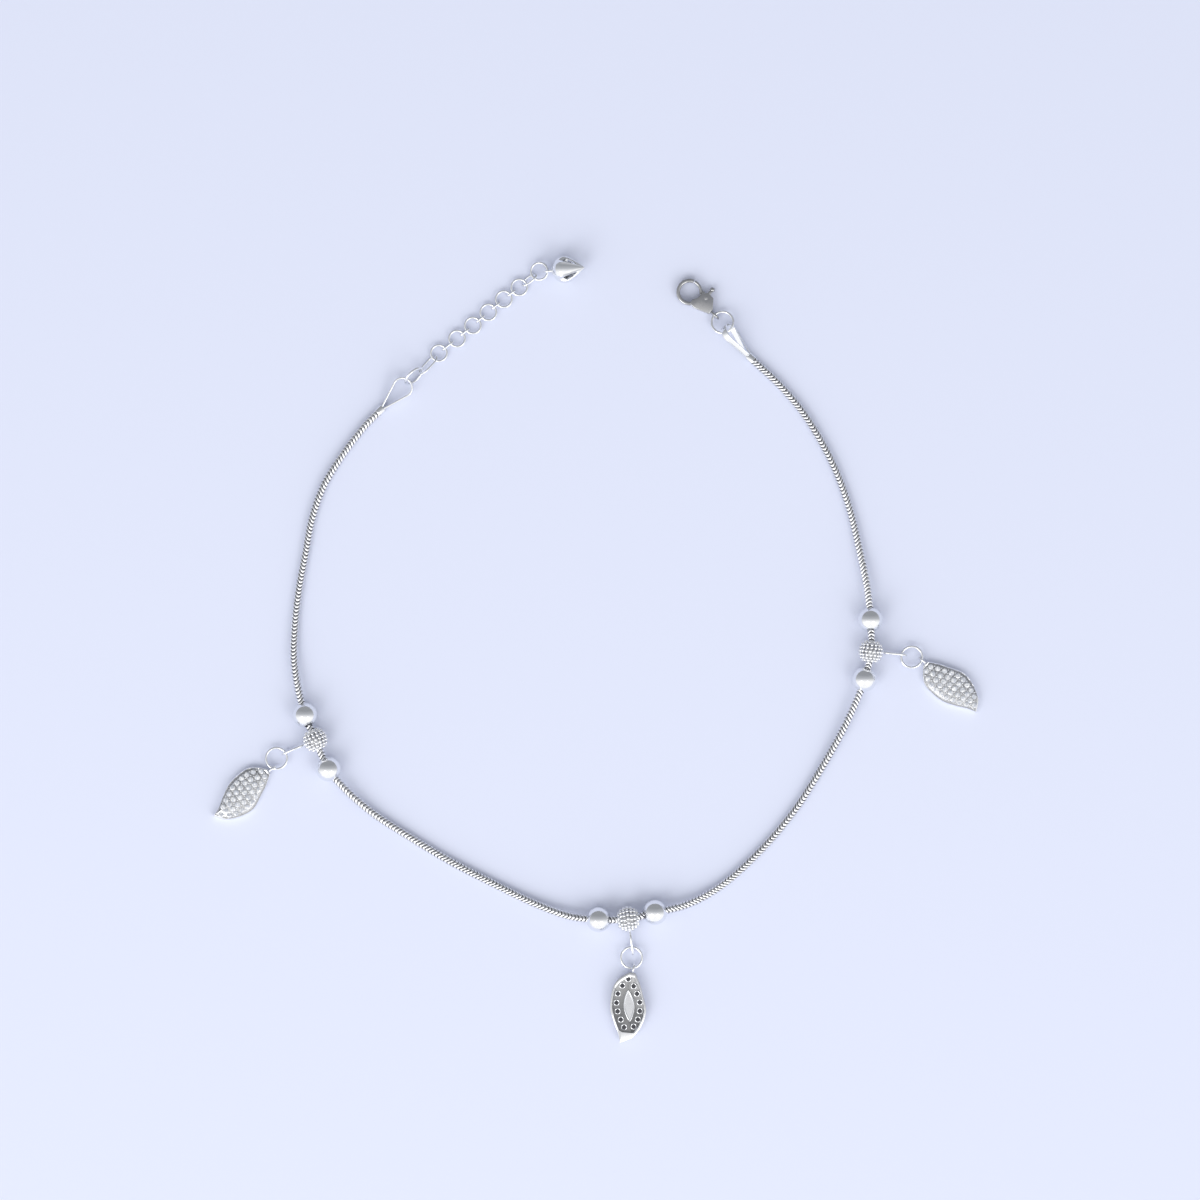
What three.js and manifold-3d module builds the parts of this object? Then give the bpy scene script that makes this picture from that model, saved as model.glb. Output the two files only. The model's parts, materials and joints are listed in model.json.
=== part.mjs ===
// A silver payal anklet laid open on a flat surface: a snake chain with three groups of
// beads, a leaf charm on each group, a lobster clasp at one end and a ring extender with
// a small petalled bell at the other. Millimetres, +Z up, the surface is z = 0.
import * as THREE from 'three';
import { mergeVertices } from 'three/addons/utils/BufferGeometryUtils.js';
import Module from 'manifold-3d';

const wasm = await Module();
wasm.setup();

// ---- driving dimensions ----
const CHAIN_RADIUS = 0.62;
const CHAIN_SIDES = 8;
const CHAIN_STEPS = 80;

const BALL = { radius: 1.9, wall: 0.3, bore: 0.98 };
const GRAIN_BEAD = { radius: 2.0, wall: 0.5, bore: 0.98 };
const COLLAR = { ring: 1.2, wire: 0.2 };
const BAIL = { start: 1.95, end: 5.9, height: 1.75, wire: 0.19, droop: 0.19 };

const CHARM_RING = { radius: 1.6, wire: 0.2, height: 0.93 };
const LEAF = { rim: 1.0, dome: 1.7, recess: 0.45, slotDepth: 0.8 };
const LEAF_LOOP = { radius: 0.7, wire: 0.17, reach: 0.6 };

const TEARDROP = { length: 6.0, radius: 1.6, neck: 0.35, strip: 0.3, height: 1.0 };

const JUMP_RING = { radius: 1.64, wire: 0.21 };
const CLASP = { hookOuter: 2.05, hookInner: 1.42, hookThick: 1.1, bodyThick: 1.6, slot: 0.9 };
const CLASP_TAIL = { at: 5.15, radius: 0.72, wire: 0.2 };
const CLASP_WEDGE = [[1.15, -1.3], [2.2, -1.3], [4.4, -0.45], [4.4, 0.45], [3.3, 1.75],
  [2.1, 1.8], [1.55, 1.0], [1.5, 0.2], [1.1, -0.6]];
const LEVER = { x: 2.45, y: 1.0, pin: 0.25, hole: 0.45, hub: 0.72, thick: 0.56 };
const LEVER_ARM = [[2.4, 0.42], [2.6, 1.6], [1.3, 1.52], [1.22, 0.86]];
const LEVER_NECK = [[2.05, 1.2], [2.75, 1.2], [2.5, 2.5], [2.1, 2.5]];
const KNOB = { x: 2.3, y: 2.6, radius: 0.42 };

const FLAT_RING = { radius: 1.21, wire: 0.19, height: 0.62 };
const END_RING = { radius: 1.3, wire: 0.2 };
const LINK = {
  wire: 0.15, halfHeight: 0.46, tallHalfHeight: 0.68, play: 0.15, firstReach: 0.31,
  lastReach: 0.32,
};

const BELL = { length: 5.1, wall: 0.3, slotWidth: 0.4 };
const BELL_LOOP = { radius: 0.7, wire: 0.17, reach: 0.65 };

// ---- places ----
// The chain's route; lift is how far it is held off the surface, which is most in the
// beads.
const ROUTE = [
  { x: -32.4, y: 36.3, lift: 0 },
  { x: -34.8, y: 33.9, lift: 0 },
  { x: -38.2, y: 29.5, lift: 0 },
  { x: -41.1, y: 24.8, lift: 0 },
  { x: -42.9, y: 19.8, lift: 0 },
  { x: -44.0, y: 14.0, lift: 0 },
  { x: -44.9, y: 9.0, lift: 0 },
  { x: -45.5, y: 3.5, lift: 0.1 },
  { x: -45.6, y: -1.9, lift: 0.55 },
  { x: -44.9, y: -6.5, lift: 1.0 },
  { x: -43.9, y: -10.2, lift: 1.28 },
  { x: -42.3, y: -13.95, lift: 1.38 },
  { x: -40.3, y: -18.4, lift: 1.28 },
  { x: -37.6, y: -21.6, lift: 0.8 },
  { x: -33.4, y: -25.2, lift: 0.25 },
  { x: -27.5, y: -29.0, lift: 0 },
  { x: -21.6, y: -32.5, lift: 0 },
  { x: -15.6, y: -35.6, lift: 0 },
  { x: -9.4, y: -38.6, lift: 0.25 },
  { x: -3.9, y: -40.6, lift: 0.8 },
  { x: 0.6, y: -41.1, lift: 1.28 },
  { x: 5.1, y: -41.0, lift: 1.38 },
  { x: 9.15, y: -40.0, lift: 1.28 },
  { x: 13.9, y: -38.9, lift: 0.8 },
  { x: 19.0, y: -36.2, lift: 0.25 },
  { x: 24.9, y: -31.0, lift: 0 },
  { x: 30.2, y: -24.8, lift: 0 },
  { x: 34.6, y: -17.9, lift: 0.1 },
  { x: 38.3, y: -11.1, lift: 0.7 },
  { x: 40.9, y: -4.8, lift: 1.28 },
  { x: 41.9, y: -0.4, lift: 1.38 },
  { x: 41.85, y: 4.4, lift: 1.28 },
  { x: 41.3, y: 9.6, lift: 0.8 },
  { x: 40.2, y: 15.0, lift: 0.25 },
  { x: 38.7, y: 21.3, lift: 0 },
  { x: 36.2, y: 28.0, lift: 0 },
  { x: 32.1, y: 35.2, lift: 0 },
  { x: 28.1, y: 40.0, lift: 0 },
  { x: 23.6, y: 44.2, lift: 0 },
];

// Each bead group: two plain balls with a grain bead between them, the ring that hangs
// from the grain bead's bail, and the leaf. Angles are in degrees, counted from +X: at
// and reach say where the leaf's loop hangs from the ring, and along is the leaf's own
// direction.
const GROUPS = [
  {
    side: 'left',
    balls: [[-43.9, -10.2], [-40.3, -18.4]],
    bead: [-42.3, -13.95],
    ring: [-48.3, -16.75],
    leaf: { at: -113, reach: 1.74, along: -141.5, faceUp: true },
  },
  {
    side: 'bottom',
    balls: [[0.6, -41.1], [9.15, -40.0]],
    bead: [5.1, -41.0],
    ring: [5.6, -47.0],
    leaf: { at: -80, reach: 1.7, along: -100.5, faceUp: false },
  },
  {
    side: 'right',
    balls: [[40.9, -4.8], [41.85, 4.4]],
    bead: [41.9, -0.4],
    ring: [48.15, -1.36],
    leaf: { at: -18, reach: 1.71, along: -44, faceUp: true },
  },
];

const CLASP_END = { x: 23.35, y: 44.4, yaw: 129.8, pitch: 13.4, roll: 58 };
const CLASP_RING = { x: 19.4, y: 49.45, z: 1.15, lean: 10 };
const CLASP_YAW = -42.8;

const FREE_END = { x: -32.15, y: 36.5, yaw: 45.3, pitch: 9, roll: 0 };
const FREE_RING = { along: 6.75, yaw: 43, lean: 68, hookAt: -28 };

// The extender's six flat rings, from the jump ring out to the end ring.
const EXTENDER = [
  { x: -23.65, y: 44.8 },
  { x: -20.9, y: 47.0 },
  { x: -18.5, y: 49.0 },
  { x: -16.15, y: 51.0 },
  { x: -13.8, y: 53.0 },
  { x: -11.45, y: 54.8 },
];
const LAST_RING = { x: -8.4, y: 57.2, z: 1.0, tilt: -14 };
const BELL_PLACE = { x: -6.98, y: 57.2, z: 1.33, yaw: 5, pitch: 18 };

// ---- materials ----
const silver = (name, color, roughness) => {
  const material = new THREE.MeshStandardMaterial({ color, roughness, metalness: 1 });
  material.name = name;
  return material;
};
const FINISH = {
  chain: () => silver('snake_chain', 0xd6d8dc, 0.2),
  polish: () => silver('polished_silver', 0xe2e4e8, 0.12),
  grain: () => silver('grained_silver', 0xc9ccd2, 0.25),
  pave: () => silver('pave_silver', 0xdfe4ee, 0.18),
};

// ---- helpers ----
const MERGE_DISTANCE = 1e-3;
const deg = THREE.MathUtils.degToRad;
const Z_AXIS = new THREE.Vector3(0, 0, 1);

const signedVolume = (geometry) => {
  const [a, b, c] = [new THREE.Vector3(), new THREE.Vector3(), new THREE.Vector3()];
  const position = geometry.getAttribute('position');
  const index = geometry.getIndex();
  let volume = 0;
  for (let i = 0; i < index.count; i += 3) {
    a.fromBufferAttribute(position, index.getX(i));
    b.fromBufferAttribute(position, index.getX(i + 1));
    c.fromBufferAttribute(position, index.getX(i + 2));
    volume += a.dot(b.cross(c));
  }
  return volume;
};

// One closed skin of shared vertices, with no sliver left where two of them met and its
// faces pointing outwards.
const closed = (geometry) => {
  geometry.deleteAttribute('normal');
  geometry.deleteAttribute('uv');
  const merged = mergeVertices(geometry, MERGE_DISTANCE);
  const corners = merged.getIndex().array;
  const kept = [];
  for (let i = 0; i < corners.length; i += 3) {
    const [a, b, c] = corners.slice(i, i + 3);
    if (a !== b && b !== c && c !== a) kept.push(a, b, c);
  }
  merged.setIndex(kept);
  if (signedVolume(merged) < 0) {
    const index = merged.getIndex();
    for (let i = 0; i < index.count; i += 3) {
      const first = index.getX(i);
      index.setX(i, index.getX(i + 2));
      index.setX(i + 2, first);
    }
  }
  return merged;
};

const solid = (geometry) => {
  const skin = closed(geometry);
  return new wasm.Manifold(new wasm.Mesh({
    numProp: 3,
    vertProperties: new Float32Array(skin.getAttribute('position').array),
    triVerts: new Uint32Array(skin.getIndex().array),
  }));
};

const geometryOf = (body) => {
  const mesh = body.getMesh();
  const geometry = new THREE.BufferGeometry();
  geometry.setAttribute('position', new THREE.BufferAttribute(mesh.vertProperties, 3));
  geometry.setIndex(new THREE.BufferAttribute(mesh.triVerts, 1));
  geometry.computeVertexNormals();
  return geometry;
};

const named = (name, geometry, material) => {
  const mesh = new THREE.Mesh(geometry, material);
  mesh.name = name;
  return mesh;
};

const turn = (object, { yaw = 0, pitch = 0, roll = 0 }) => {
  object.rotation.set(deg(roll), deg(-pitch), deg(yaw), 'ZYX');
  return object;
};

const flat = (angle, length = 1) => new THREE.Vector3(
  length * Math.cos(deg(angle)), length * Math.sin(deg(angle)), 0);

// ---- the chain ----
const route = new THREE.CatmullRomCurve3(
  ROUTE.map(({ x, y, lift }) => new THREE.Vector3(x, y, CHAIN_RADIUS + lift)),
  false, 'centripetal');

const disc = (radius, sides) => {
  const points = [];
  for (let i = 0; i < sides; i += 1) {
    const angle = (2 * Math.PI * (i + 0.5)) / sides;
    points.push(new THREE.Vector2(radius * Math.cos(angle), radius * Math.sin(angle)));
  }
  return new THREE.Shape(points);
};

const chain = () => named('chain', closed(new THREE.ExtrudeGeometry(
  disc(CHAIN_RADIUS, CHAIN_SIDES),
  { steps: CHAIN_STEPS, extrudePath: route, bevelEnabled: false },
)), FINISH.chain());

// The frame at the route's nearest place to (x, y): X outwards, Y along the chain, Z up.
const ROUTE_SAMPLES = 3000;
const threaded = (x, y) => {
  let best = { gap: Infinity, at: 0 };
  for (let i = 0; i <= ROUTE_SAMPLES; i += 1) {
    const point = route.getPoint(i / ROUTE_SAMPLES);
    const gap = Math.hypot(point.x - x, point.y - y);
    if (gap < best.gap) best = { gap, at: i / ROUTE_SAMPLES };
  }
  const along = route.getTangent(best.at);
  const outwards = new THREE.Vector3(along.y, -along.x, 0).normalize();
  if (outwards.dot(new THREE.Vector3(x, y, 0)) < 0) {
    outwards.negate();
  }
  const up = new THREE.Vector3().crossVectors(outwards, along).normalize();
  if (up.z < 0) {
    up.negate();
    along.negate();
  }
  return new THREE.Matrix4().makeBasis(outwards, along, up)
    .setPosition(route.getPoint(best.at));
};

// ---- beads ----
const BEAD_SEGMENTS = 14;
const BEAD_ARC = 6;

// A hollow ball round the Y axis with a hole at each pole.
const hollowBall = ({ radius, wall, bore }) => {
  const arc = (r, from, to) => {
    const points = [];
    for (let i = 0; i <= BEAD_ARC; i += 1) {
      const angle = from + ((to - from) * i) / BEAD_ARC;
      points.push(new THREE.Vector2(r * Math.cos(angle), r * Math.sin(angle)));
    }
    return points;
  };
  const outer = Math.acos(bore / radius);
  const inner = Math.acos(bore / (radius - wall));
  const profile = [...arc(radius, -outer, outer), ...arc(radius - wall, inner, -inner)];
  profile.push(profile[0].clone());
  return new THREE.LatheGeometry(profile, BEAD_SEGMENTS);
};

const ball = (name, [x, y]) => {
  const mesh = named(name, closed(hollowBall(BALL)), FINISH.polish());
  mesh.applyMatrix4(threaded(x, y));
  return mesh;
};

// A closed oval of wire in the XZ plane.
class Oval extends THREE.Curve {
  constructor(halfLength, halfHeight) {
    super();
    this.halfLength = halfLength;
    this.halfHeight = halfHeight;
  }

  getPoint(t) {
    const blunt = (value) => Math.sign(value) * Math.abs(value) ** 0.8;
    const angle = 2 * Math.PI * t;
    return new THREE.Vector3(
      this.halfLength * blunt(Math.cos(angle)), 0,
      this.halfHeight * blunt(Math.sin(angle)));
  }
}

const oval = (halfLength, halfHeight, wire, steps = 14) => new THREE.TubeGeometry(
  new Oval(halfLength, halfHeight), steps, wire, 5, true);

const bail = () => {
  const halfLength = (BAIL.end - BAIL.start) / 2 - BAIL.wire;
  const loop = oval(halfLength, BAIL.height / 2 - BAIL.wire, BAIL.wire);
  loop.translate((BAIL.end + BAIL.start) / 2, 0, 0);
  return loop.rotateY(BAIL.droop);
};

const grainBead = (name, [x, y]) => {
  let body = solid(hollowBall(GRAIN_BEAD));
  const reach = Math.sqrt(GRAIN_BEAD.radius ** 2 - COLLAR.ring ** 2);
  for (const end of [-reach, reach]) {
    const collar = new THREE.TorusGeometry(COLLAR.ring, COLLAR.wire, 6, BEAD_SEGMENTS);
    body = body.add(solid(collar.rotateX(Math.PI / 2).translate(0, end, 0)));
  }
  body = body.add(solid(bail()));
  const mesh = named(name, geometryOf(body), FINISH.grain());
  mesh.applyMatrix4(threaded(x, y));
  return mesh;
};

// ---- rings and links ----
const RING_SEGMENTS = 16;

const ring = (name, { radius, wire }, centre, normal = Z_AXIS) => {
  const geometry = closed(new THREE.TorusGeometry(radius, wire, 6, RING_SEGMENTS));
  const mesh = named(name, geometry, FINISH.polish());
  mesh.position.copy(centre);
  mesh.quaternion.setFromUnitVectors(Z_AXIS, normal);
  return mesh;
};

// A small oval link round two wires, given the wires' middles and the fatter wire's
// radius; roll turns it about its own length.
const link = (name, from, to, wireInside, roll = 0, halfHeight = LINK.halfHeight) => {
  const span = from.distanceTo(to);
  const halfLength = span / 2 + wireInside + LINK.play + LINK.wire;
  const mesh = named(name, closed(oval(halfLength, halfHeight, LINK.wire)), FINISH.polish());
  mesh.position.addVectors(from, to).multiplyScalar(0.5);
  const along = new THREE.Vector3().subVectors(to, from);
  const yaw = THREE.MathUtils.radToDeg(Math.atan2(along.y, along.x));
  const pitch = THREE.MathUtils.radToDeg(Math.asin(along.z / span));
  return turn(mesh, { yaw, pitch, roll });
};

// ---- leaf charms ----
// The leaf's outline from its top, round the side that is full near the top, to the tip,
// and back up the side that is full near the tip.
const LEAF_OUTLINE = {
  top: [[0.0, -0.45], [0.5, -1.1], [1.15, -1.8], [2.1, -2.4], [3.4, -2.6], [5.8, -2.4],
    [7.9, -1.45], [9.4, -0.55]],
  tip: [10.8, 0],
  bottom: [[9.8, 1.55], [8.9, 2.2], [7.5, 2.8], [6.2, 3.05], [4.9, 2.95], [2.9, 2.05],
    [1.6, 1.45], [0.0, 0.4]],
};
const LEAF_MIDDLE = [5.2, 0.15];

const leafOutline = () => {
  const vector = ([x, y]) => new THREE.Vector2(x, y);
  const tip = vector(LEAF_OUTLINE.tip);
  const shape = new THREE.Shape();
  shape.moveTo(...LEAF_OUTLINE.top[0]);
  shape.splineThru([...LEAF_OUTLINE.top.slice(1).map(vector), tip]);
  shape.splineThru(LEAF_OUTLINE.bottom.map(vector));
  const points = shape.getPoints(2);
  return THREE.ShapeUtils.area(points) < 0 ? points.reverse() : points;
};

// A solid of stacked outlines: each layer gives its height and the outline's scale about
// a middle point, and the ends are closed with a fan.
const stack = (outline, layers, [midX, midY]) => {
  const positions = [];
  const layerPoint = ({ z, scale }, i) => {
    const { x, y } = outline[i % outline.length];
    return [midX + (x - midX) * scale, midY + (y - midY) * scale, z];
  };
  for (let k = 0; k + 1 < layers.length; k += 1) {
    for (let i = 0; i < outline.length; i += 1) {
      const [a, b] = [layerPoint(layers[k], i), layerPoint(layers[k], i + 1)];
      const [c, d] = [layerPoint(layers[k + 1], i), layerPoint(layers[k + 1], i + 1)];
      positions.push(...a, ...b, ...d, ...a, ...d, ...c);
    }
  }
  const [base, lid] = [layers[0], layers[layers.length - 1]];
  for (let i = 0; i < outline.length; i += 1) {
    positions.push(midX, midY, base.z, ...layerPoint(base, i + 1), ...layerPoint(base, i));
    positions.push(midX, midY, lid.z, ...layerPoint(lid, i), ...layerPoint(lid, i + 1));
  }
  const geometry = new THREE.BufferGeometry();
  geometry.setAttribute('position', new THREE.Float32BufferAttribute(positions, 3));
  return mergeVertices(geometry, MERGE_DISTANCE);
};

// The domed face is up; the back has a recess inside its rim and a long open slot.
const leafBody = () => {
  const outline = leafOutline();
  let body = solid(stack(outline, [
    { z: 0, scale: 1 },
    { z: LEAF.rim, scale: 1 },
    { z: LEAF.rim + 0.35, scale: 0.94 },
    { z: LEAF.dome - 0.12, scale: 0.72 },
    { z: LEAF.dome, scale: 0.35 },
  ], LEAF_MIDDLE));
  body = body.subtract(solid(stack(outline, [
    { z: -1, scale: 0.76 },
    { z: LEAF.recess, scale: 0.76 },
  ], [4.0, -0.1])));
  const slot = new THREE.Shape();
  slot.moveTo(2.4, -0.2);
  slot.quadraticCurveTo(4.6, -1.5, 7.4, 0.1);
  slot.quadraticCurveTo(4.8, 1.0, 2.4, -0.2);
  const cut = new THREE.ExtrudeGeometry(slot, {
    depth: LEAF.slotDepth + 1, bevelEnabled: false, curveSegments: 6,
  });
  return body.subtract(solid(cut.translate(0, 0, -1)));
};

const leafCharm = (name, loopAt, { along, faceUp }) => {
  let body = leafBody();
  const loop = new THREE.TorusGeometry(LEAF_LOOP.radius, LEAF_LOOP.wire, 6, 16);
  loop.rotateX(Math.PI / 2).translate(-LEAF_LOOP.reach, 0, CHARM_RING.height);
  body = body.add(solid(loop));
  const geometry = geometryOf(body);
  if (!faceUp) {
    geometry.scale(1, 1, -1).translate(0, 0, 2 * CHARM_RING.height);
  }
  const mesh = named(name, closed(geometry), FINISH.pave());
  mesh.position.copy(loopAt).add(flat(along, LEAF_LOOP.reach)).setZ(0);
  return turn(mesh, { yaw: along });
};

const beadGroup = ({ side, balls, bead, ring: [x, y], leaf }) => {
  const group = new THREE.Group();
  balls.forEach((place, i) => group.add(ball(`ball_${side}_${i + 1}`, place)));
  group.add(grainBead(`grain_bead_${side}`, bead));
  const centre = new THREE.Vector3(x, y, CHARM_RING.height);
  group.add(ring(`charm_ring_${side}`, CHARM_RING, centre));
  const loopAt = flat(leaf.at, leaf.reach).add(centre);
  group.add(leafCharm(`leaf_charm_${side}`, loopAt, leaf));
  return group;
};

// ---- teardrop ends ----
// A strip bent to a teardrop; X runs from its narrow end to its round end.
const teardrop = () => {
  const { length, radius, neck, strip, height } = TEARDROP;
  const centre = length - radius;
  const slope = Math.asin((radius - neck) / centre);
  const outline = new THREE.Shape();
  outline.absarc(centre, 0, radius, -Math.PI / 2 - slope, Math.PI / 2 + slope, false);
  outline.lineTo(0, neck);
  outline.lineTo(0, -neck);
  const hole = new THREE.Path();
  const inside = radius - strip;
  hole.absarc(centre, 0, inside, Math.PI / 2 + slope, -Math.PI / 2 - slope, true);
  hole.lineTo(2 * strip, -neck / 2);
  hole.lineTo(2 * strip, neck / 2);
  outline.holes.push(hole);
  const geometry = new THREE.ExtrudeGeometry(outline, {
    depth: height, bevelEnabled: false, curveSegments: 14,
  });
  return geometry.translate(0, 0, -height / 2);
};

const chainEnd = (name, { x, y, yaw, pitch, roll }) => {
  const mesh = named(name, closed(teardrop()), FINISH.polish());
  mesh.position.set(x, y, CHAIN_RADIUS);
  return turn(mesh, { yaw, pitch, roll });
};

// ---- lobster clasp ----
// The clasp's own frame has the claw's middle at its origin and X towards the tail.
const slab = (shape, thick, curveSegments = 12) => new THREE.ExtrudeGeometry(shape, {
  depth: thick, bevelEnabled: false, curveSegments,
}).translate(0, 0, -thick / 2);

const arcBand = (outer, inner, from, to) => {
  const band = new THREE.Shape();
  band.absarc(0, 0, outer, deg(from), deg(to), false);
  band.absarc(0, 0, inner, deg(to), deg(from), true);
  return band;
};

const polygon = (corners) => new THREE.Shape(corners.map((corner) => (
  new THREE.Vector2(...corner))));

const claspBody = () => {
  const hook = arcBand(CLASP.hookOuter, CLASP.hookInner, 112, 340);
  const wedge = polygon(CLASP_WEDGE);
  let body = solid(slab(hook, CLASP.hookThick)).add(solid(slab(wedge, CLASP.bodyThick)));
  const slot = new THREE.BoxGeometry(3.2, 3.0, CLASP.slot).translate(2.1, 1.5, 0);
  body = body.subtract(solid(slot));
  const pin = new THREE.CylinderGeometry(LEVER.pin, LEVER.pin, CLASP.bodyThick - 0.3, 12);
  body = body.add(solid(pin.rotateX(Math.PI / 2).translate(LEVER.x, LEVER.y, 0)));
  const tail = new THREE.TorusGeometry(CLASP_TAIL.radius, CLASP_TAIL.wire, 6, 16);
  body = body.add(solid(tail.rotateX(Math.PI / 2).translate(CLASP_TAIL.at, 0, 0.12)));
  return named('clasp_body', geometryOf(body), FINISH.polish());
};

const claspLever = () => {
  const gate = arcBand(CLASP.hookOuter - 0.05, CLASP.hookInner + 0.05, 30, 106);
  const hub = new THREE.CylinderGeometry(LEVER.hub, LEVER.hub, LEVER.thick, 18);
  const hole = new THREE.CylinderGeometry(LEVER.hole, LEVER.hole, 2, 14);
  const knob = new THREE.SphereGeometry(KNOB.radius, 12, 8);
  const atPivot = (geometry) => geometry.rotateX(Math.PI / 2)
    .translate(LEVER.x, LEVER.y, 0);
  const body = solid(atPivot(hub))
    .add(solid(slab(gate, LEVER.thick)))
    .add(solid(slab(polygon(LEVER_ARM), LEVER.thick)))
    .add(solid(slab(polygon(LEVER_NECK), LEVER.thick)))
    .add(solid(knob.translate(KNOB.x, KNOB.y, 0)))
    .subtract(solid(atPivot(hole)));
  return named('clasp_lever', geometryOf(body), FINISH.polish());
};

const claspRing = () => {
  const { x, y, z, lean } = CLASP_RING;
  const normal = flat(CLASP_END.yaw, Math.sin(deg(lean))).setZ(Math.cos(deg(lean)));
  return ring('clasp_ring', JUMP_RING, new THREE.Vector3(x, y, z), normal);
};

const clasp = () => {
  const group = new THREE.Group();
  const reach = CLASP_TAIL.at + JUMP_RING.radius;
  const head = flat(CLASP_YAW + 180, reach);
  group.position.set(CLASP_RING.x + head.x, CLASP_RING.y + head.y, CLASP.bodyThick / 2);
  turn(group, { yaw: CLASP_YAW });
  group.add(claspBody(), claspLever());
  return group;
};

// ---- bell ----
// Half-widths of the bell's outer skin along its length, from the crown to the tip.
const BELL_PROFILE = [
  { at: 0, radius: 0 }, { at: 0.05, radius: 0.6 }, { at: 0.4, radius: 1.35 },
  { at: 1.0, radius: 1.88 }, { at: 1.8, radius: 2.1 }, { at: 2.6, radius: 1.95 },
  { at: 3.4, radius: 1.45 }, { at: 4.2, radius: 0.75 }, { at: BELL.length, radius: 0 },
];

const bell = () => {
  const skin = (inset) => {
    const middle = BELL.length * 0.42;
    const shrink = 1 - inset / BELL.length * 2;
    const profile = BELL_PROFILE.map(({ at, radius }) => new THREE.Vector2(
      Math.max(0, radius - inset * Math.sign(radius)), middle + (at - middle) * shrink));
    return new THREE.LatheGeometry(profile, 20).rotateZ(-Math.PI / 2);
  };
  let body = solid(skin(0)).subtract(solid(skin(BELL.wall)));
  for (const roll of [Math.PI / 4, -Math.PI / 4]) {
    const slot = new THREE.BoxGeometry(2.0, BELL.slotWidth, 6).rotateX(roll);
    body = body.subtract(solid(slot.translate(3.1, 0, 0)));
  }
  const loop = new THREE.TorusGeometry(BELL_LOOP.radius, BELL_LOOP.wire, 6, 16);
  body = body.add(solid(loop.rotateX(Math.PI / 2).translate(-BELL_LOOP.reach, 0, 0)))
    .translate([BELL_LOOP.reach, 0, 0]);
  const mesh = named('bell', geometryOf(body), FINISH.polish());
  mesh.position.set(BELL_PLACE.x, BELL_PLACE.y, BELL_PLACE.z);
  return turn(mesh, BELL_PLACE);
};

// ---- extender ----
const extender = () => {
  const group = new THREE.Group();
  const axis = flat(FREE_RING.yaw);
  const side = flat(FREE_RING.yaw + 90);
  const up = side.clone().multiplyScalar(Math.cos(deg(FREE_RING.lean)))
    .addScaledVector(Z_AXIS, Math.sin(deg(FREE_RING.lean)));
  const normal = new THREE.Vector3().crossVectors(axis, up).normalize();
  const hung = flat(FREE_END.yaw, FREE_RING.along);
  const centre = new THREE.Vector3(FREE_END.x + hung.x, FREE_END.y + hung.y,
    JUMP_RING.radius * up.z + JUMP_RING.wire);
  group.add(ring('extender_jump_ring', JUMP_RING, centre, normal));

  let from = centre.clone()
    .addScaledVector(axis, JUMP_RING.radius * Math.cos(deg(FREE_RING.hookAt)))
    .addScaledVector(up, JUMP_RING.radius * Math.sin(deg(FREE_RING.hookAt)));
  EXTENDER.forEach(({ x, y }, i) => {
    const place = new THREE.Vector3(x, y, FLAT_RING.height);
    const toward = new THREE.Vector3().subVectors(from, place).setZ(0).normalize();
    const wire = place.clone().addScaledVector(toward, FLAT_RING.radius);
    const first = i === 0;
    group.add(link(`extender_link_${i + 1}`, from, wire,
      first ? LINK.firstReach : FLAT_RING.wire, first ? 45 : 0,
      first ? LINK.tallHalfHeight : LINK.halfHeight));
    group.add(ring(`extender_ring_${i + 1}`, FLAT_RING, place));
    const next = EXTENDER[i + 1] ?? LAST_RING;
    const away = new THREE.Vector3(next.x - x, next.y - y, 0).normalize();
    from = place.clone().addScaledVector(away, FLAT_RING.radius);
  });

  const last = new THREE.Vector3(LAST_RING.x, LAST_RING.y, LAST_RING.z);
  const tilted = Z_AXIS.clone().applyAxisAngle(new THREE.Vector3(0, 1, 0),
    deg(LAST_RING.tilt));
  const back = new THREE.Vector3().subVectors(from, last).setZ(0).normalize();
  const wire = last.clone().addScaledVector(
    back.addScaledVector(tilted, -back.dot(tilted)).normalize(), END_RING.radius);
  group.add(link('extender_link_7', from, wire, LINK.lastReach, 40,
    LINK.tallHalfHeight));
  group.add(ring('extender_end_ring', END_RING, last, tilted));
  group.add(bell());
  return group;
};

// ---- the whole anklet ----
const anklet = new THREE.Group();
anklet.add(chain());
GROUPS.forEach((group) => anklet.add(beadGroup(group)));
anklet.add(chainEnd('chain_end_clasp', CLASP_END));
anklet.add(chainEnd('chain_end_free', FREE_END));
anklet.add(claspRing());
anklet.add(clasp());
anklet.add(extender());

// The origin is under the middle of the whole outline.
const middle = new THREE.Box3().setFromObject(anklet, true).getCenter(new THREE.Vector3());
anklet.position.set(-middle.x, -middle.y, 0);

export default anklet;
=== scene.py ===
"""A silver payal anklet laid open on a pale surface, built piece by piece.

Every size here is in millimetres until a piece is finished, when its mesh is scaled to
metres in the shared frame.
"""
import json
import math

import bmesh
import bpy
import numpy as np
from bpy.props import FloatProperty, FloatVectorProperty, IntProperty, PointerProperty
from mathutils import Matrix, Vector


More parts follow.
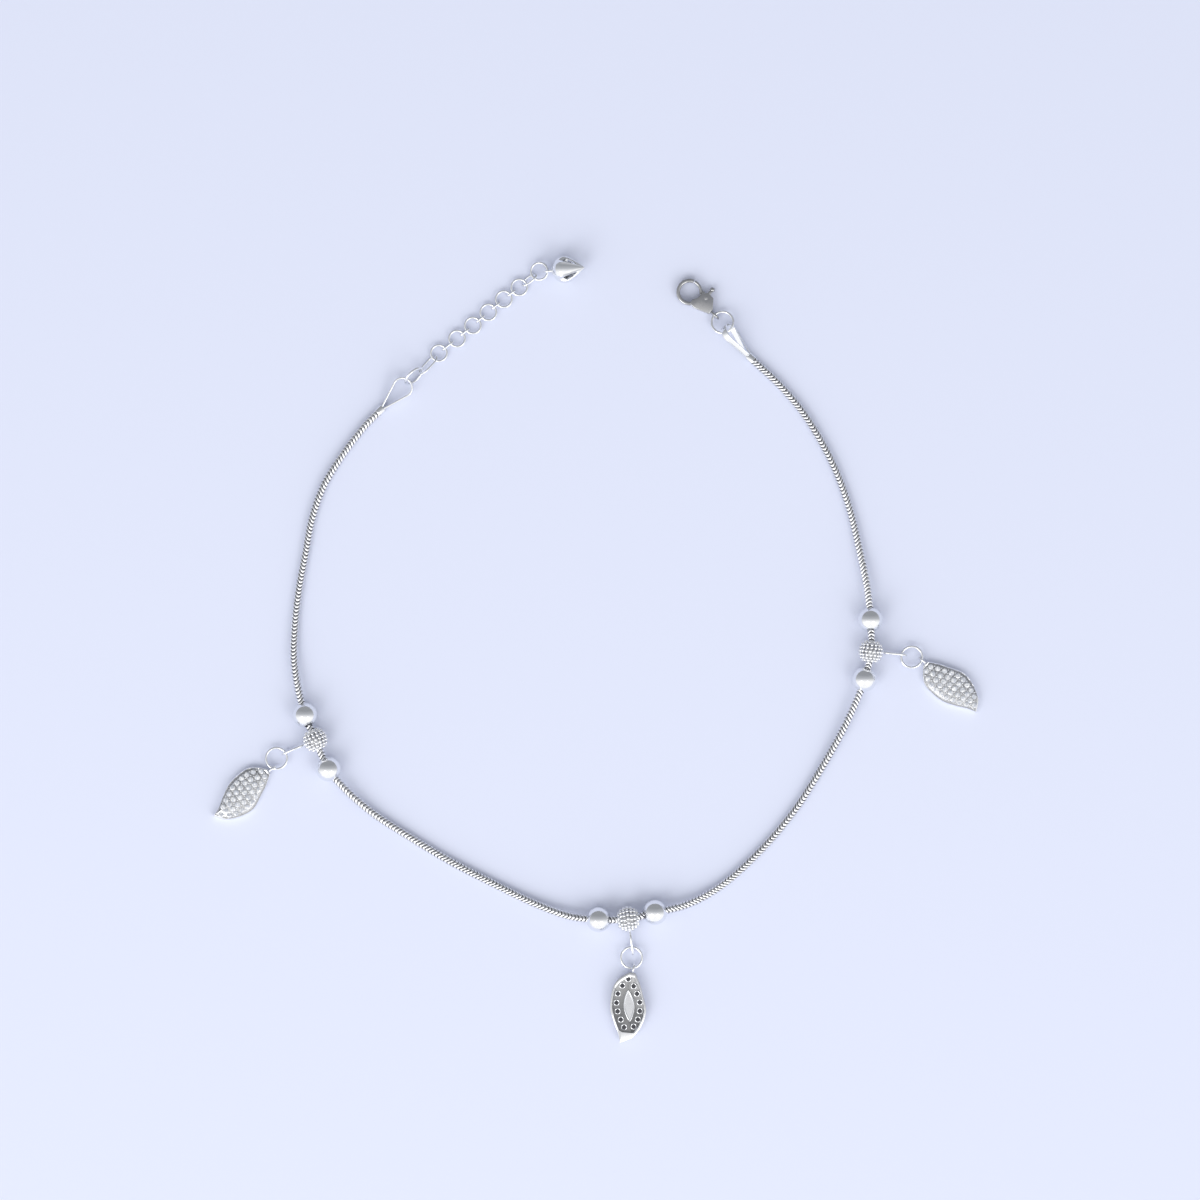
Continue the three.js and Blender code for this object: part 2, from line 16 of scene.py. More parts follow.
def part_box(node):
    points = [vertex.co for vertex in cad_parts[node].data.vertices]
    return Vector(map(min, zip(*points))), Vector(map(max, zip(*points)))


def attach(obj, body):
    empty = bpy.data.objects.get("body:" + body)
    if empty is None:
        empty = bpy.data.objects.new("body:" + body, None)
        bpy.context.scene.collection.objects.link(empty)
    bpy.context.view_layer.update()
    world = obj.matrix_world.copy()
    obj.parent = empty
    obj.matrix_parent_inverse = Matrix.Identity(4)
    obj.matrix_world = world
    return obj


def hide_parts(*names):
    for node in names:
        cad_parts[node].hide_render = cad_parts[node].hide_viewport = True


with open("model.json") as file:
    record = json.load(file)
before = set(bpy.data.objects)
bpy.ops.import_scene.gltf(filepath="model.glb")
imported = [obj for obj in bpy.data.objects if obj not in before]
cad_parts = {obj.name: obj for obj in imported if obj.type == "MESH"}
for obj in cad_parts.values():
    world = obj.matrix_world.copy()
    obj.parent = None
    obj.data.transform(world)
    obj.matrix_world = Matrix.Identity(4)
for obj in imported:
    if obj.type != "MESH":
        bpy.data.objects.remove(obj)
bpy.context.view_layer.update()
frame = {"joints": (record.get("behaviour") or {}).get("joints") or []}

bl_info = {
    "name": "Payal anklet",
    "version": (1, 0, 0),
    "blender": (4, 5, 0),
    "location": "3D View > Sidebar > Anklet",
    "description": "Builds a silver snake chain anklet with leaf charms",
    "category": "Add Mesh",
}

MM = 0.001
SIDES = ("left", "bottom", "right")
ROOT = "anklet"
LEVER = "lever"

# The chain's route, x and y on the surface and lift above lying flat.
ROUTE = (
    (-32.4, 36.3, 0), (-34.8, 33.9, 0), (-38.2, 29.5, 0), (-41.1, 24.8, 0),
    (-42.9, 19.8, 0), (-44.0, 14.0, 0), (-44.9, 9.0, 0), (-45.5, 3.5, 0.1),
    (-45.6, -1.9, 0.55), (-44.9, -6.5, 1.0), (-43.9, -10.2, 1.28),
    (-42.3, -13.95, 1.38), (-40.3, -18.4, 1.28), (-37.6, -21.6, 0.8),
    (-33.4, -25.2, 0.25), (-27.5, -29.0, 0), (-21.6, -32.5, 0), (-15.6, -35.6, 0),
    (-9.4, -38.6, 0.25), (-3.9, -40.6, 0.8), (0.6, -41.1, 1.28), (5.1, -41.0, 1.38),
    (9.15, -40.0, 1.28), (13.9, -38.9, 0.8), (19.0, -36.2, 0.25), (24.9, -31.0, 0),
    (30.2, -24.8, 0), (34.6, -17.9, 0.1), (38.3, -11.1, 0.7), (40.9, -4.8, 1.28),
    (41.9, -0.4, 1.38), (41.85, 4.4, 1.28), (41.3, 9.6, 0.8), (40.2, 15.0, 0.25),
    (38.7, 21.3, 0), (36.2, 28.0, 0), (32.1, 35.2, 0), (28.1, 40.0, 0), (23.6, 44.2, 0),
)

# The leaf from its top to its tip: the edge that is full near the top, then the edge
# that is full near the tip.
LEAF_TOP_EDGE = ((0.0, -0.45), (0.5, -1.1), (1.15, -1.8), (2.1, -2.4), (3.4, -2.6),
                 (5.8, -2.4), (7.9, -1.45), (9.4, -0.55), (10.8, 0.0))
LEAF_TIP_EDGE = ((10.8, 0.0), (9.8, 1.55), (8.9, 2.2), (7.5, 2.8), (6.2, 3.05),
                 (4.9, 2.95), (2.9, 2.05), (1.6, 1.45), (0.0, 0.4))
LEAF_LENGTH = 10.8
LEAF_MIDDLE = Vector((5.2, 0.15, 0))
RECESS_END = 8.95

# The middles of the round openings in the leaf's back: one at its top and a row down
# each side.
AZURES = ((1.05, -0.5), (2.2, -1.2), (3.5, -1.65), (4.9, -1.6), (6.15, -1.2),
          (7.3, -0.5), (8.35, 0.2), (1.95, 0.5), (3.0, 1.2), (4.2, 1.85), (5.5, 2.1),
          (6.8, 2.05), (8.0, 1.6))
LENS_ENDS = (Vector((2.75, -0.2, 0)), Vector((7.3, 0.9, 0)))

# The bell's outline from crown to tip.
BELL_PROFILE = ((0.0, 0.02), (0.05, 0.6), (0.4, 1.35), (1.0, 1.88), (1.8, 2.1),
                (2.6, 1.95), (3.4, 1.45), (4.3, 0.75), (5.1, 0.03))


# ---- settings ----
def size(label, text, value):
    """A length in millimetres that a user may change."""
    return FloatProperty(name=label, description=text, default=value, min=0.01)


class ChainSettings(bpy.types.PropertyGroup):
    radius: size("Radius", "Half the chain's thickness, in mm", 0.62)
    pitch: size("Pitch", "Distance from one link to the next, in mm", 0.55)
    wave: size("Wave", "How far each link bends along the chain, in mm", 0.27)
    turns: FloatProperty(name="Turns", description="Twist over the chain's length, turns",
                         default=1.6)


class BeadSettings(bpy.types.PropertyGroup):
    ball: size("Ball radius", "Radius of a plain ball, in mm", 1.9)
    grain_bead: size("Grain bead radius", "Radius over the grains, in mm", 2.0)
    grain: size("Grain radius", "Radius of one soldered grain, in mm", 0.3)
    bore: size("Bore radius", "Radius of the hole for the chain, in mm", 0.8)


class LeafSettings(bpy.types.PropertyGroup):
    stone: size("Stone radius", "Radius of one paved stone, in mm", 0.44)
    spacing: size("Stone spacing", "Distance between stones in a row, in mm", 1.0)
    wall: size("Wall height", "Height of the leaf's side wall, in mm", 1.0)
    dome: size("Dome height", "Height of the leaf's face, in mm", 1.7)
    segments: IntProperty(name="Stone facets", description="Sides of one stone's outline",
                          default=8, min=6, max=16)


class MetalSettings(bpy.types.PropertyGroup):
    silver: FloatVectorProperty(name="Silver", description="Colour of polished silver",
                                subtype="COLOR", size=3, default=(0.87, 0.875, 0.89),
                                min=0.0, max=1.0)
    dark: FloatVectorProperty(name="Dark hollows", description="Colour of shaded hollows",
                              subtype="COLOR", size=3, default=(0.1, 0.1, 0.11),
                              min=0.0, max=1.0)
    surface: FloatVectorProperty(name="Surface", description="Colour of the pale surface",
                                 subtype="COLOR", size=3, default=(0.76, 0.80, 0.96),
                                 min=0.0, max=1.0)


# ---- materials ----
def wear_group():
    """Fine handling marks: a colour, a roughness and a height that vary over metal."""
    name = "silver_wear"
    if name in bpy.data.node_groups:
        return bpy.data.node_groups[name]
    group = bpy.data.node_groups.new(name, "ShaderNodeTree")
    sockets = group.interface
    sockets.new_socket("Color", in_out="INPUT", socket_type="NodeSocketColor")
    sockets.new_socket("Dark", in_out="INPUT", socket_type="NodeSocketColor")
    sockets.new_socket("Rough Low", in_out="INPUT", socket_type="NodeSocketFloat")
    sockets.new_socket("Rough High", in_out="INPUT", socket_type="NodeSocketFloat")
    sockets.new_socket("Scale", in_out="INPUT", socket_type="NodeSocketFloat")
    sockets.new_socket("Color", in_out="OUTPUT", socket_type="NodeSocketColor")
    sockets.new_socket("Roughness", in_out="OUTPUT", socket_type="NodeSocketFloat")
    sockets.new_socket("Height", in_out="OUTPUT", socket_type="NodeSocketFloat")
    nodes, links = group.nodes, group.links
    given = nodes.new("NodeGroupInput")
    out = nodes.new("NodeGroupOutput")
    place = nodes.new("ShaderNodeTexCoord")
    cloud = nodes.new("ShaderNodeTexNoise")
    cloud.inputs["Detail"].default_value = 5.0
    stretch = nodes.new("ShaderNodeMapping")
    stretch.inputs["Scale"].default_value = (1.0, 5.0, 1.0)
    stretch.inputs["Rotation"].default_value = (0.3, 0.2, 0.7)
    scratch = nodes.new("ShaderNodeTexNoise")
    scratch.inputs["Scale"].default_value = 2600.0
    scratch.inputs["Detail"].default_value = 3.0
    tint = nodes.new("ShaderNodeMix")
    tint.data_type = "RGBA"
    shade = nodes.new("ShaderNodeMapRange")
    shade.inputs["From Min"].default_value = 0.56
    shade.inputs["From Max"].default_value = 0.8
    rough = nodes.new("ShaderNodeMapRange")
    rough.inputs["From Min"].default_value = 0.3
    rough.inputs["From Max"].default_value = 0.7
    links.new(place.outputs["Object"], cloud.inputs["Vector"])
    links.new(place.outputs["Object"], stretch.inputs["Vector"])
    links.new(stretch.outputs["Vector"], scratch.inputs["Vector"])
    links.new(given.outputs["Scale"], cloud.inputs["Scale"])
    links.new(cloud.outputs["Fac"], shade.inputs["Value"])
    links.new(shade.outputs["Result"], tint.inputs["Factor"])
    links.new(given.outputs["Color"], tint.inputs["A"])
    links.new(given.outputs["Dark"], tint.inputs["B"])
    links.new(scratch.outputs["Fac"], rough.inputs["Value"])
    links.new(given.outputs["Rough Low"], rough.inputs["To Min"])
    links.new(given.outputs["Rough High"], rough.inputs["To Max"])
    links.new(tint.outputs["Result"], out.inputs["Color"])
    links.new(rough.outputs["Result"], out.inputs["Roughness"])
    links.new(scratch.outputs["Fac"], out.inputs["Height"])
    return group


def metal(name, color, dark, rough=(0.05, 0.14), scale=700.0, bump=0.05):
    """A silver finish made from the wear group."""
    if name in bpy.data.materials:
        return bpy.data.materials[name]
    material = bpy.data.materials.new(name)
    material.use_nodes = True
    nodes, links = material.node_tree.nodes, material.node_tree.links
    shader = nodes["Principled BSDF"]
    shader.inputs["Metallic"].default_value = 1.0
    wear = nodes.new("ShaderNodeGroup")
    wear.node_tree = wear_group()
    wear.inputs["Color"].default_value = (*color, 1)
    wear.inputs["Dark"].default_value = (*dark, 1)
    wear.inputs["Rough Low"].default_value = rough[0]
    wear.inputs["Rough High"].default_value = rough[1]
    wear.inputs["Scale"].default_value = scale
    relief = nodes.new("ShaderNodeBump")
    relief.inputs["Strength"].default_value = bump
    relief.inputs["Distance"].default_value = 0.00002
    links.new(wear.outputs["Color"], shader.inputs["Base Color"])
    links.new(wear.outputs["Roughness"], shader.inputs["Roughness"])
    links.new(wear.outputs["Height"], relief.inputs["Height"])
    links.new(relief.outputs["Normal"], shader.inputs["Normal"])
    return material


def tones():
    """The silver and dark colours, with a softly tarnished silver between them."""
    given = bpy.context.scene.anklet_metal
    silver = tuple(given.silver)
    return silver, tuple(0.9 * value for value in silver), tuple(given.dark)


def polished_silver():
    silver, soft, _ = tones()
    return metal("polished_silver", silver, soft, (0.04, 0.1), 500.0, 0.03)


def chain_silver():
    silver, soft, _ = tones()
    return metal("chain_silver", silver, tuple(0.8 * v for v in soft), (0.1, 0.2), 1200.0)


def grain_silver():
    silver, soft, _ = tones()
    return metal("grain_silver", silver, tuple(0.75 * v for v in soft), (0.08, 0.18), 1500.0)


def setting_silver():
    silver, soft, _ = tones()
    return metal("setting_silver", silver, soft, (0.08, 0.2), 1500.0)


# Painted shade: a dark silver for the shade in the chain's gaps and inside the back's
# openings.
def hollow_silver():
    _, _, dark = tones()
    return metal("hollow_silver", dark, tuple(0.4 * v for v in dark), (0.35, 0.55), 2500.0)


# Painted shade: a darker silver for the shade in recesses, the grain bead's core between its
# grains and the leaf face's ground between its stones.
def ground_silver():
    silver, _, dark = tones()
    return metal("ground_silver", tuple(0.6 * v for v in silver), dark, (0.2, 0.35),
                 2500.0)


def back_silver():
    silver, _, dark = tones()
    return metal("back_silver", tuple(0.32 * v for v in silver),
                 tuple(1.2 * v for v in dark), (0.3, 0.45), 3200.0, 0.3)


def clasp_silver():
    # A painted dark reflection: the clasp's silver is darkened to stand for the dark
    # surroundings it reflects.
    silver, soft, _ = tones()
    return metal("clasp_silver", tuple(0.52 * v for v in silver),
                 tuple(0.36 * v for v in soft), (0.06, 0.16), 600.0, 0.04)


def white_stone():
    """Clear white stones, with painted light and shade that makes their facets differ a
    little in brightness.
    """
    name = "white_stone"
    if name in bpy.data.materials:
        return bpy.data.materials[name]
    material = bpy.data.materials.new(name)
    material.use_nodes = True
    nodes, links = material.node_tree.nodes, material.node_tree.links
    shader = nodes["Principled BSDF"]
    place = nodes.new("ShaderNodeTexCoord")
    painted_facet_light = nodes.new("ShaderNodeTexVoronoi")
    # Painted light and shade: facet-sized cells from white to grey stand for bright and dark
    # facets.
    painted_facet_light.inputs["Scale"].default_value = 3200.0
    shades = nodes.new("ShaderNodeValToRGB")
    shades.color_ramp.elements[0].position = 0.3
    shades.color_ramp.elements[0].color = (0.99, 0.995, 1.0, 1)
    shades.color_ramp.elements[1].position = 0.65
    shades.color_ramp.elements[1].color = (0.6, 0.63, 0.7, 1)
    links.new(place.outputs["Object"], painted_facet_light.inputs["Vector"])
    links.new(painted_facet_light.outputs["Distance"], shades.inputs["Fac"])
    links.new(shades.outputs["Color"], shader.inputs["Base Color"])
    shader.inputs["Roughness"].default_value = 0.03
    shader.inputs["IOR"].default_value = 2.1
    shader.inputs["Transmission Weight"].default_value = 0.1
    return material


# ---- reading the frame ----
def cad_points(node):
    """A CAD piece's own corner points, in millimetres."""
    mesh = bpy.data.objects[node].data
    points = np.empty(len(mesh.vertices) * 3)
    mesh.vertices.foreach_get("co", points)
    return np.unique(np.round(points.reshape(-1, 3) * 1000, 3), axis=0)


def principal(node):
    """A symmetrical piece's middle and its long, middle and short axes."""
    points = cad_points(node)
    middle = points.mean(axis=0)
    _, axes = np.linalg.eigh(np.cov((points - middle).T))
    return Vector(middle), [Vector(axes[:, i]) for i in (2, 1, 0)]


def basis(x_axis, y_axis, z_axis, place):
    """The matrix that carries a piece's own axes to the given ones."""
    turn = Matrix((x_axis, y_axis, z_axis)).transposed().to_4x4()
    return Matrix.Translation(place) @ turn


def route_shift():
    """The step from the route table's own origin to the shared frame's."""
    low, high = (Vector(corner) * 1000 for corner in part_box("chain"))
    points = np.array([tuple(point) for point in smooth_route(Vector((0, 0, 0)))])
    middle = (points.min(axis=0) + points.max(axis=0)) / 2
    return Vector(((low.x + high.x) / 2 - middle[0], (low.y + high.y) / 2 - middle[1], 0))


def catmull(corners, t, power):
    """A point of a Catmull-Rom curve between the two middle corners."""
    gaps = [max((b - a).length ** power, 1e-4) for a, b in zip(corners, corners[1:])]
    before, span, after = gaps
    p0, p1, p2, p3 = corners
    start = ((p1 - p0) / before - (p2 - p0) / (before + span) + (p2 - p1) / span) * span
    end = ((p2 - p1) / span - (p3 - p1) / (span + after) + (p3 - p2) / after) * span
    return (p1 + start * t + (3 * (p2 - p1) - 2 * start - end) * t * t
            + (2 * (p1 - p2) + start + end) * t ** 3)


def smooth_route(shift, radius=0.62, steps=30):
    """Points along the chain's middle."""
    rows = [Vector((x, y, radius + lift)) + shift for x, y, lift in ROUTE]
    rows = [2 * rows[0] - rows[1], *rows, 2 * rows[-1] - rows[-2]]
    points = []
    for i in range(len(rows) - 3):
        points += [catmull(rows[i:i + 4], k / steps, 0.5) for k in range(steps)]
    return [*points, rows[-2]]


ROUTE_POINTS = smooth_route(route_shift())


def threaded(node):
    """The frame of a bead on the chain: X outwards, Y along the chain and Z up."""
    middle = Vector(cad_points(node).mean(axis=0))
    nearest = min(range(1, len(ROUTE_POINTS) - 1),
                  key=lambda i: (ROUTE_POINTS[i].xy - middle.xy).length)
    place = ROUTE_POINTS[nearest]
    along = (ROUTE_POINTS[nearest + 1] - ROUTE_POINTS[nearest - 1]).normalized()
    outwards = Vector((along.y, -along.x, 0)).normalized()
    if outwards.dot(place) < 0:
        outwards.negate()
    up = outwards.cross(along).normalized()
    if up.z < 0:
        up.negate()
        along.negate()
    return basis(outwards, along, up, place)


# ---- making meshes ----
def circle_profile(bm, radius, sides=12):
    """A round wire's section at the origin, in the XZ plane."""
    made = bmesh.ops.create_circle(bm, segments=sides, radius=radius,
                                   matrix=Matrix.Rotation(math.pi / 2, 4, "X"))
    return made["verts"]


def strip_profile(bm, width, height, corner):
    """A flat strip's section with eased corners: width in X, height in Z."""
    made = bmesh.ops.create_grid(bm, x_segments=1, y_segments=1, size=0.5,
                                 matrix=Matrix.Diagonal((width, height, 1, 1)))
    bmesh.ops.bevel(bm, geom=made["verts"], offset=corner, affect="VERTICES", segments=3,
                    profile=0.5, material=-1)
    bmesh.ops.delete(bm, geom=bm.faces[:], context="FACES_ONLY")
    bmesh.ops.rotate(bm, verts=bm.verts[:], matrix=Matrix.Rotation(math.pi / 2, 3, "X"))
    return bm.verts[:]


def sweep(bm, verts, frames, closed_path):
    """Carries a section along a path of frames, each with Y along the path."""
    inside = set(verts)
    edges = [e for e in bm.edges if e.verts[0] in inside and e.verts[1] in inside]
    first = list(verts)
    bmesh.ops.transform(bm, matrix=frames[0], verts=first)
    if not closed_path:
        bmesh.ops.contextual_create(bm, geom=edges)
    last, previous = edges, frames[0]
    for following in frames[1:]:
        made = bmesh.ops.extrude_edge_only(bm, edges=last)["geom"]
        moved = [g for g in made if isinstance(g, bmesh.types.BMVert)]
        last = [g for g in made if isinstance(g, bmesh.types.BMEdge)]
        step = following @ previous.inverted()
        bmesh.ops.transform(bm, matrix=step, verts=moved)
        previous = following
    if closed_path:
        bmesh.ops.remove_doubles(bm, verts=bm.verts[:], dist=1e-4)
    else:
        bmesh.ops.contextual_create(bm, geom=last)
    bmesh.ops.recalc_face_normals(bm, faces=bm.faces[:])


def path_frames(points, up, closed_path):
    """Frames along a flat path, with Z on its normal."""
    frames = []
    count = len(points)
    for i in range(count + (1 if closed_path else 0)):
        here = points[i % count]
        if closed_path:
            along = points[(i + 1) % count] - points[i - 1 if i < count else -1 + i % count]
        else:
            along = points[min(i + 1, count - 1)] - points[max(i - 1, 0)]
        along = along.normalized()
        frames.append(basis(along.cross(up).normalized(), along, up, here))
    return frames


def wire_loop(points, up, radius, sides=10):
    """A closed loop of round wire along flat points."""
    bm = bmesh.new()
    verts = circle_profile(bm, radius, sides)
    sweep(bm, verts, path_frames(points, up, True), True)
    return bm


def oval_points(half_length, half_height, count=40):
    """A blunt oval in the XZ plane."""
    def blunt(value):
        return math.copysign(abs(value) ** 0.8, value)
    points = []
    for i in range(count):
        angle = 2 * math.pi * (i + 0.5) / count
        points.append(Vector((half_length * blunt(math.cos(angle)), 0,
                              half_height * blunt(math.sin(angle)))))
    return points


def arc_points(radius, start, end, count):
    """Points round an arc in the XY plane, in degrees."""
    angles = [math.radians(start + (end - start) * i / (count - 1)) for i in range(count)]
    return [Vector((radius * math.cos(a), radius * math.sin(a), 0)) for a in angles]


def ring_mesh(radius, wire, split=False, sides=12, count=48):
    """A wire ring round Z, closed or with the fine slit of a jump ring."""
    bm = bmesh.new()
    verts = circle_profile(bm, wire, sides)
    if split:
        points = arc_points(radius, 1.2, 358.8, count)
        sweep(bm, verts, path_frames(points, Vector((0, 0, 1)), False), False)
    else:
        points = arc_points(radius, 0, 360, count + 1)[:-1]
        sweep(bm, verts, path_frames(points, Vector((0, 0, 1)), True), True)
    return bm


def lathe(profile, segments, axis="Y", close=True):
    """Spins (radius, height) rows round an axis."""
    bm = bmesh.new()
    verts = [bm.verts.new((radius, height, 0)) for radius, height in profile]
    edges = [bm.edges.new(pair) for pair in zip(verts, verts[1:])]
    if close:
        edges.append(bm.edges.new((verts[-1], verts[0])))
    bmesh.ops.spin(bm, geom=[*verts, *edges], cent=(0, 0, 0), axis=(0, 1, 0),
                   angle=2 * math.pi, steps=segments, use_merge=True)
    bmesh.ops.remove_doubles(bm, verts=bm.verts[:], dist=1e-4)
    bmesh.ops.recalc_face_normals(bm, faces=bm.faces[:])
    if axis == "X":
        bmesh.ops.rotate(bm, verts=bm.verts[:],
                         matrix=Matrix.Rotation(-math.pi / 2, 3, "Z"))
    return bm


def slab(outline, thick, ease, segments=2):
    """A flat outline made thick, its edges eased."""
    bm = bmesh.new()
    verts = [bm.verts.new((x, y, -thick / 2)) for x, y in outline]
    face = bm.faces.new(verts)
    made = bmesh.ops.extrude_face_region(bm, geom=[face])["geom"]
    top = [g for g in made if isinstance(g, bmesh.types.BMVert)]
    bmesh.ops.translate(bm, verts=top, vec=(0, 0, thick))
    bmesh.ops.recalc_face_normals(bm, faces=bm.faces[:])
    bmesh.ops.bevel(bm, geom=bm.edges[:], offset=ease, affect="EDGES", segments=segments,
                    profile=0.5, material=-1, clamp_overlap=True)
    return bm


def add_to(bm, part, place=None):
    """Joins a finished part into bm at a place."""
    mesh = bpy.data.meshes.new("part")
    part.to_mesh(mesh)
    part.free()
    if place is not None:
        mesh.transform(place)
        if place.determinant() < 0:
            mesh.flip_normals()
    bm.from_mesh(mesh)
    bpy.data.meshes.remove(mesh)


def stamp(bm, part, places):
    """Joins a copy of a small part into bm at each place."""
    mesh = bpy.data.meshes.new("stamp")
    part.to_mesh(mesh)
    part.free()
    for place in places:
        copy = mesh.copy()
        copy.transform(place)
        if place.determinant() < 0:
            copy.flip_normals()
        bm.from_mesh(copy)
        bpy.data.meshes.remove(copy)
    bpy.data.meshes.remove(mesh)


def finish(bm, name, material, replaces=(), body=ROOT, smooth=True):
    """Scales a piece to metres and hands it to the frame."""
    bmesh.ops.scale(bm, vec=(MM, MM, MM), verts=bm.verts[:])
    mesh = bpy.data.meshes.new(name)
    bm.to_mesh(mesh)
    bm.free()
    piece = bpy.data.objects.new(name, mesh)
    bpy.context.scene.collection.objects.link(piece)
    mesh.materials.append(material)
    if smooth:
        mesh.shade_smooth()
        mesh.set_sharp_from_angle(angle=math.radians(42))
    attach(piece, body)
    if replaces:
        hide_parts(*replaces)
    return piece


# ---- snake chain ----
def chain_link(radius, wave):
    """One link: a rounded band round Y, bent into two waves."""
    half, inner = 0.19, radius - 0.26
    profile = ((inner, -half), (radius - 0.06, -half), (radius, -0.1), (radius, 0.1),
               (radius - 0.06, half), (inner, half))
    bm = lathe(profile, 12)
    for vert in bm.verts:
        around = math.atan2(vert.co.z, vert.co.x)
        vert.co.y += wave * math.cos(2 * around)
    return bm


def chain_frames(count, turns):
    """Evenly spaced frames along the chain, slowly turning round it."""
    lengths = [0.0]
    for a, b in zip(ROUTE_POINTS, ROUTE_POINTS[1:]):
        lengths.append(lengths[-1] + (b - a).length)
    frames = []
    at = 0
    for i in range(count):
        goal = lengths[-1] * (i + 0.5) / count
        while lengths[at + 1] < goal:
            at += 1
        share = (goal - lengths[at]) / (lengths[at + 1] - lengths[at])
        place = ROUTE_POINTS[at].lerp(ROUTE_POINTS[at + 1], share)
        along = (ROUTE_POINTS[at + 1] - ROUTE_POINTS[at]).normalized()
        side = along.cross(Vector((0, 0, 1))).normalized()
        up = side.cross(along).normalized()
        roll = Matrix.Rotation(2 * math.pi * turns * i / count, 4, "Y")
        frames.append(basis(side, along, up, place) @ roll)
    return frames


def route_length():
    return sum((b - a).length for a, b in zip(ROUTE_POINTS, ROUTE_POINTS[1:]))


class ANKLET_OT_chain(bpy.types.Operator):
    """Builds the snake chain: its bent links and a dark core between them, painted shade
    seen through the gaps
    """

    bl_idname = "anklet.chain"
    bl_label = "Snake chain"

    def execute(self, context):
        given = context.scene.anklet_chain
        count = round(route_length() / given.pitch)
        bm = bmesh.new()
        stamp(bm, chain_link(given.radius, given.wave), chain_frames(count, given.turns))
        finish(bm, "snake_chain_links", chain_silver(), ["chain"])
        # A thin dark core inside the links: painted shade in the gaps between them.
        core = bmesh.new()
        verts = circle_profile(core, given.radius - 0.2, 10)
        sweep(core, verts, chain_frames(count // 2, 0.0), False)
        finish(core, "snake_chain_core", hollow_silver())
        return {"FINISHED"}


# ---- beads ----
def ball_profile(radius, bore, wall=0.25, steps=14):
    """A hollow ball's section with rolled edges at its two holes."""
    edge = math.acos(bore / radius)
    outer = [(radius * math.cos(a), radius * math.sin(a))
             for a in np.linspace(-edge, edge, steps)]
    lip = [(bore - 0.05, radius * math.sin(edge) - 0.03),
           (bore - 0.05, radius * math.sin(edge) - 0.22)]
    inside = radius - wall
    inner_edge = math.acos(bore / inside)
    inner = [(inside * math.cos(a), inside * math.sin(a))
             for a in np.linspace(inner_edge, -inner_edge, steps)]
    low_lip = [(r, -h) for r, h in reversed(lip)]
    return [*outer, *lip, *inner, *low_lip]


def grain_rows(radius, grain):
    """Places for grains in rows round Y, closest at the middle."""
    places = []
    for row, latitude in enumerate((-54, -36, -18, 0, 18, 36, 54)):
        ring_radius = radius * math.cos(math.radians(latitude))
        count = max(8, int(2 * math.pi * ring_radius / (2.02 * grain)))
        for i in range(count):
            around = 2 * math.pi * (i + 0.5 * (row % 2)) / count
            places.append(Matrix.Translation((
                ring_radius * math.cos(around), radius * math.sin(math.radians(latitude)),
                ring_radius * math.sin(around))))
    return places


def bail_loop():
    """The soldered oval bail, drooping outwards from the bead."""
    start, end, height, wire, droop = 1.95, 5.7, 1.75, 0.19, 0.19
    points = oval_points((end - start) / 2 - wire, height / 2 - wire)
    bm = wire_loop(points, Vector((0, 1, 0)), wire, 12)
    bmesh.ops.translate(bm, verts=bm.verts[:], vec=((start + end) / 2, 0, 0))
    bmesh.ops.rotate(bm, verts=bm.verts[:], matrix=Matrix.Rotation(droop, 3, "Y"))
    return bm


class ANKLET_OT_beads(bpy.types.Operator):
    """Builds the plain balls and the grain beads with their bails"""

    bl_idname = "anklet.beads"
    bl_label = "Beads"

    def execute(self, context):
        given = context.scene.anklet_beads
        for side in SIDES:
            for number in (1, 2):
                node = f"ball_{side}_{number}"
                bm = bmesh.new()
                add_to(bm, lathe(ball_profile(given.ball, given.bore), 40), threaded(node))
                finish(bm, f"polished_{node}", polished_silver(), [node])
            self.grain_bead(given, side)
        return {"FINISHED"}

    def grain_bead(self, given, side):
        node = f"grain_bead_{side}"
        place = threaded(node)
        core_radius = given.grain_bead - 1.45 * given.grain
        # The core between the grains is painted darker: painted shade in the gaps between
        # them.
        core = bmesh.new()
        add_to(core, lathe(ball_profile(core_radius, given.bore), 32), place)
        finish(core, f"grain_core_{side}", ground_silver())
        grains = bmesh.new()
        grain = bmesh.new()
        bmesh.ops.create_uvsphere(grain, u_segments=8, v_segments=6, radius=given.grain)
        middle = given.grain_bead - given.grain
        places = [place @ spot for spot in grain_rows(middle, given.grain)]
        stamp(grains, grain, places)
        finish(grains, f"grains_{side}", grain_silver())
        trim = bmesh.new()
        reach = 1.42
        for end in (-reach, reach):
            spot = Matrix.Translation((0, end, 0)) @ Matrix.Rotation(math.pi / 2, 4, "X")
            add_to(trim, ring_mesh(1.0, 0.15), place @ spot)
        add_to(trim, bail_loop(), place)
        finish(trim, f"bead_bail_{side}", polished_silver(), [node])


# ---- leaf charms ----
def leaf_outline(steps=5):
    """The leaf's edge as a smooth closed outline, anticlockwise."""
    points = []
    for edge in (LEAF_TOP_EDGE, LEAF_TIP_EDGE):
        rows = [Vector((*row, 0)) for row in edge]
        rows = [rows[0], *rows, rows[-1]]
        for i in range(len(rows) - 3):
            points += [catmull(rows[i:i + 4], k / steps, 0.0001) for k in range(steps)]
    points.append(Vector((*LEAF_TIP_EDGE[-1], 0)))
    return points


def leaf_span(outline, x):
    """The lowest and highest y of the leaf at x."""
    hits = []
    for a, b in zip(outline, [*outline[1:], outline[0]]):
        if (a.x - x) * (b.x - x) < 0:
            hits.append(a.y + (b.y - a.y) * (x - a.x) / (b.x - a.x))
    return (min(hits), max(hits)) if len(hits) > 1 else (0.0, 0.0)


# Each ring of the leaf's skin: its height, its size, whether it stops short of the tip
# as the recess does, and its material, from the middle of the recessed back round the
# wall to the face. The face's ground takes painted shade between the stones.
WALL, GROUND, BACK = range(3)


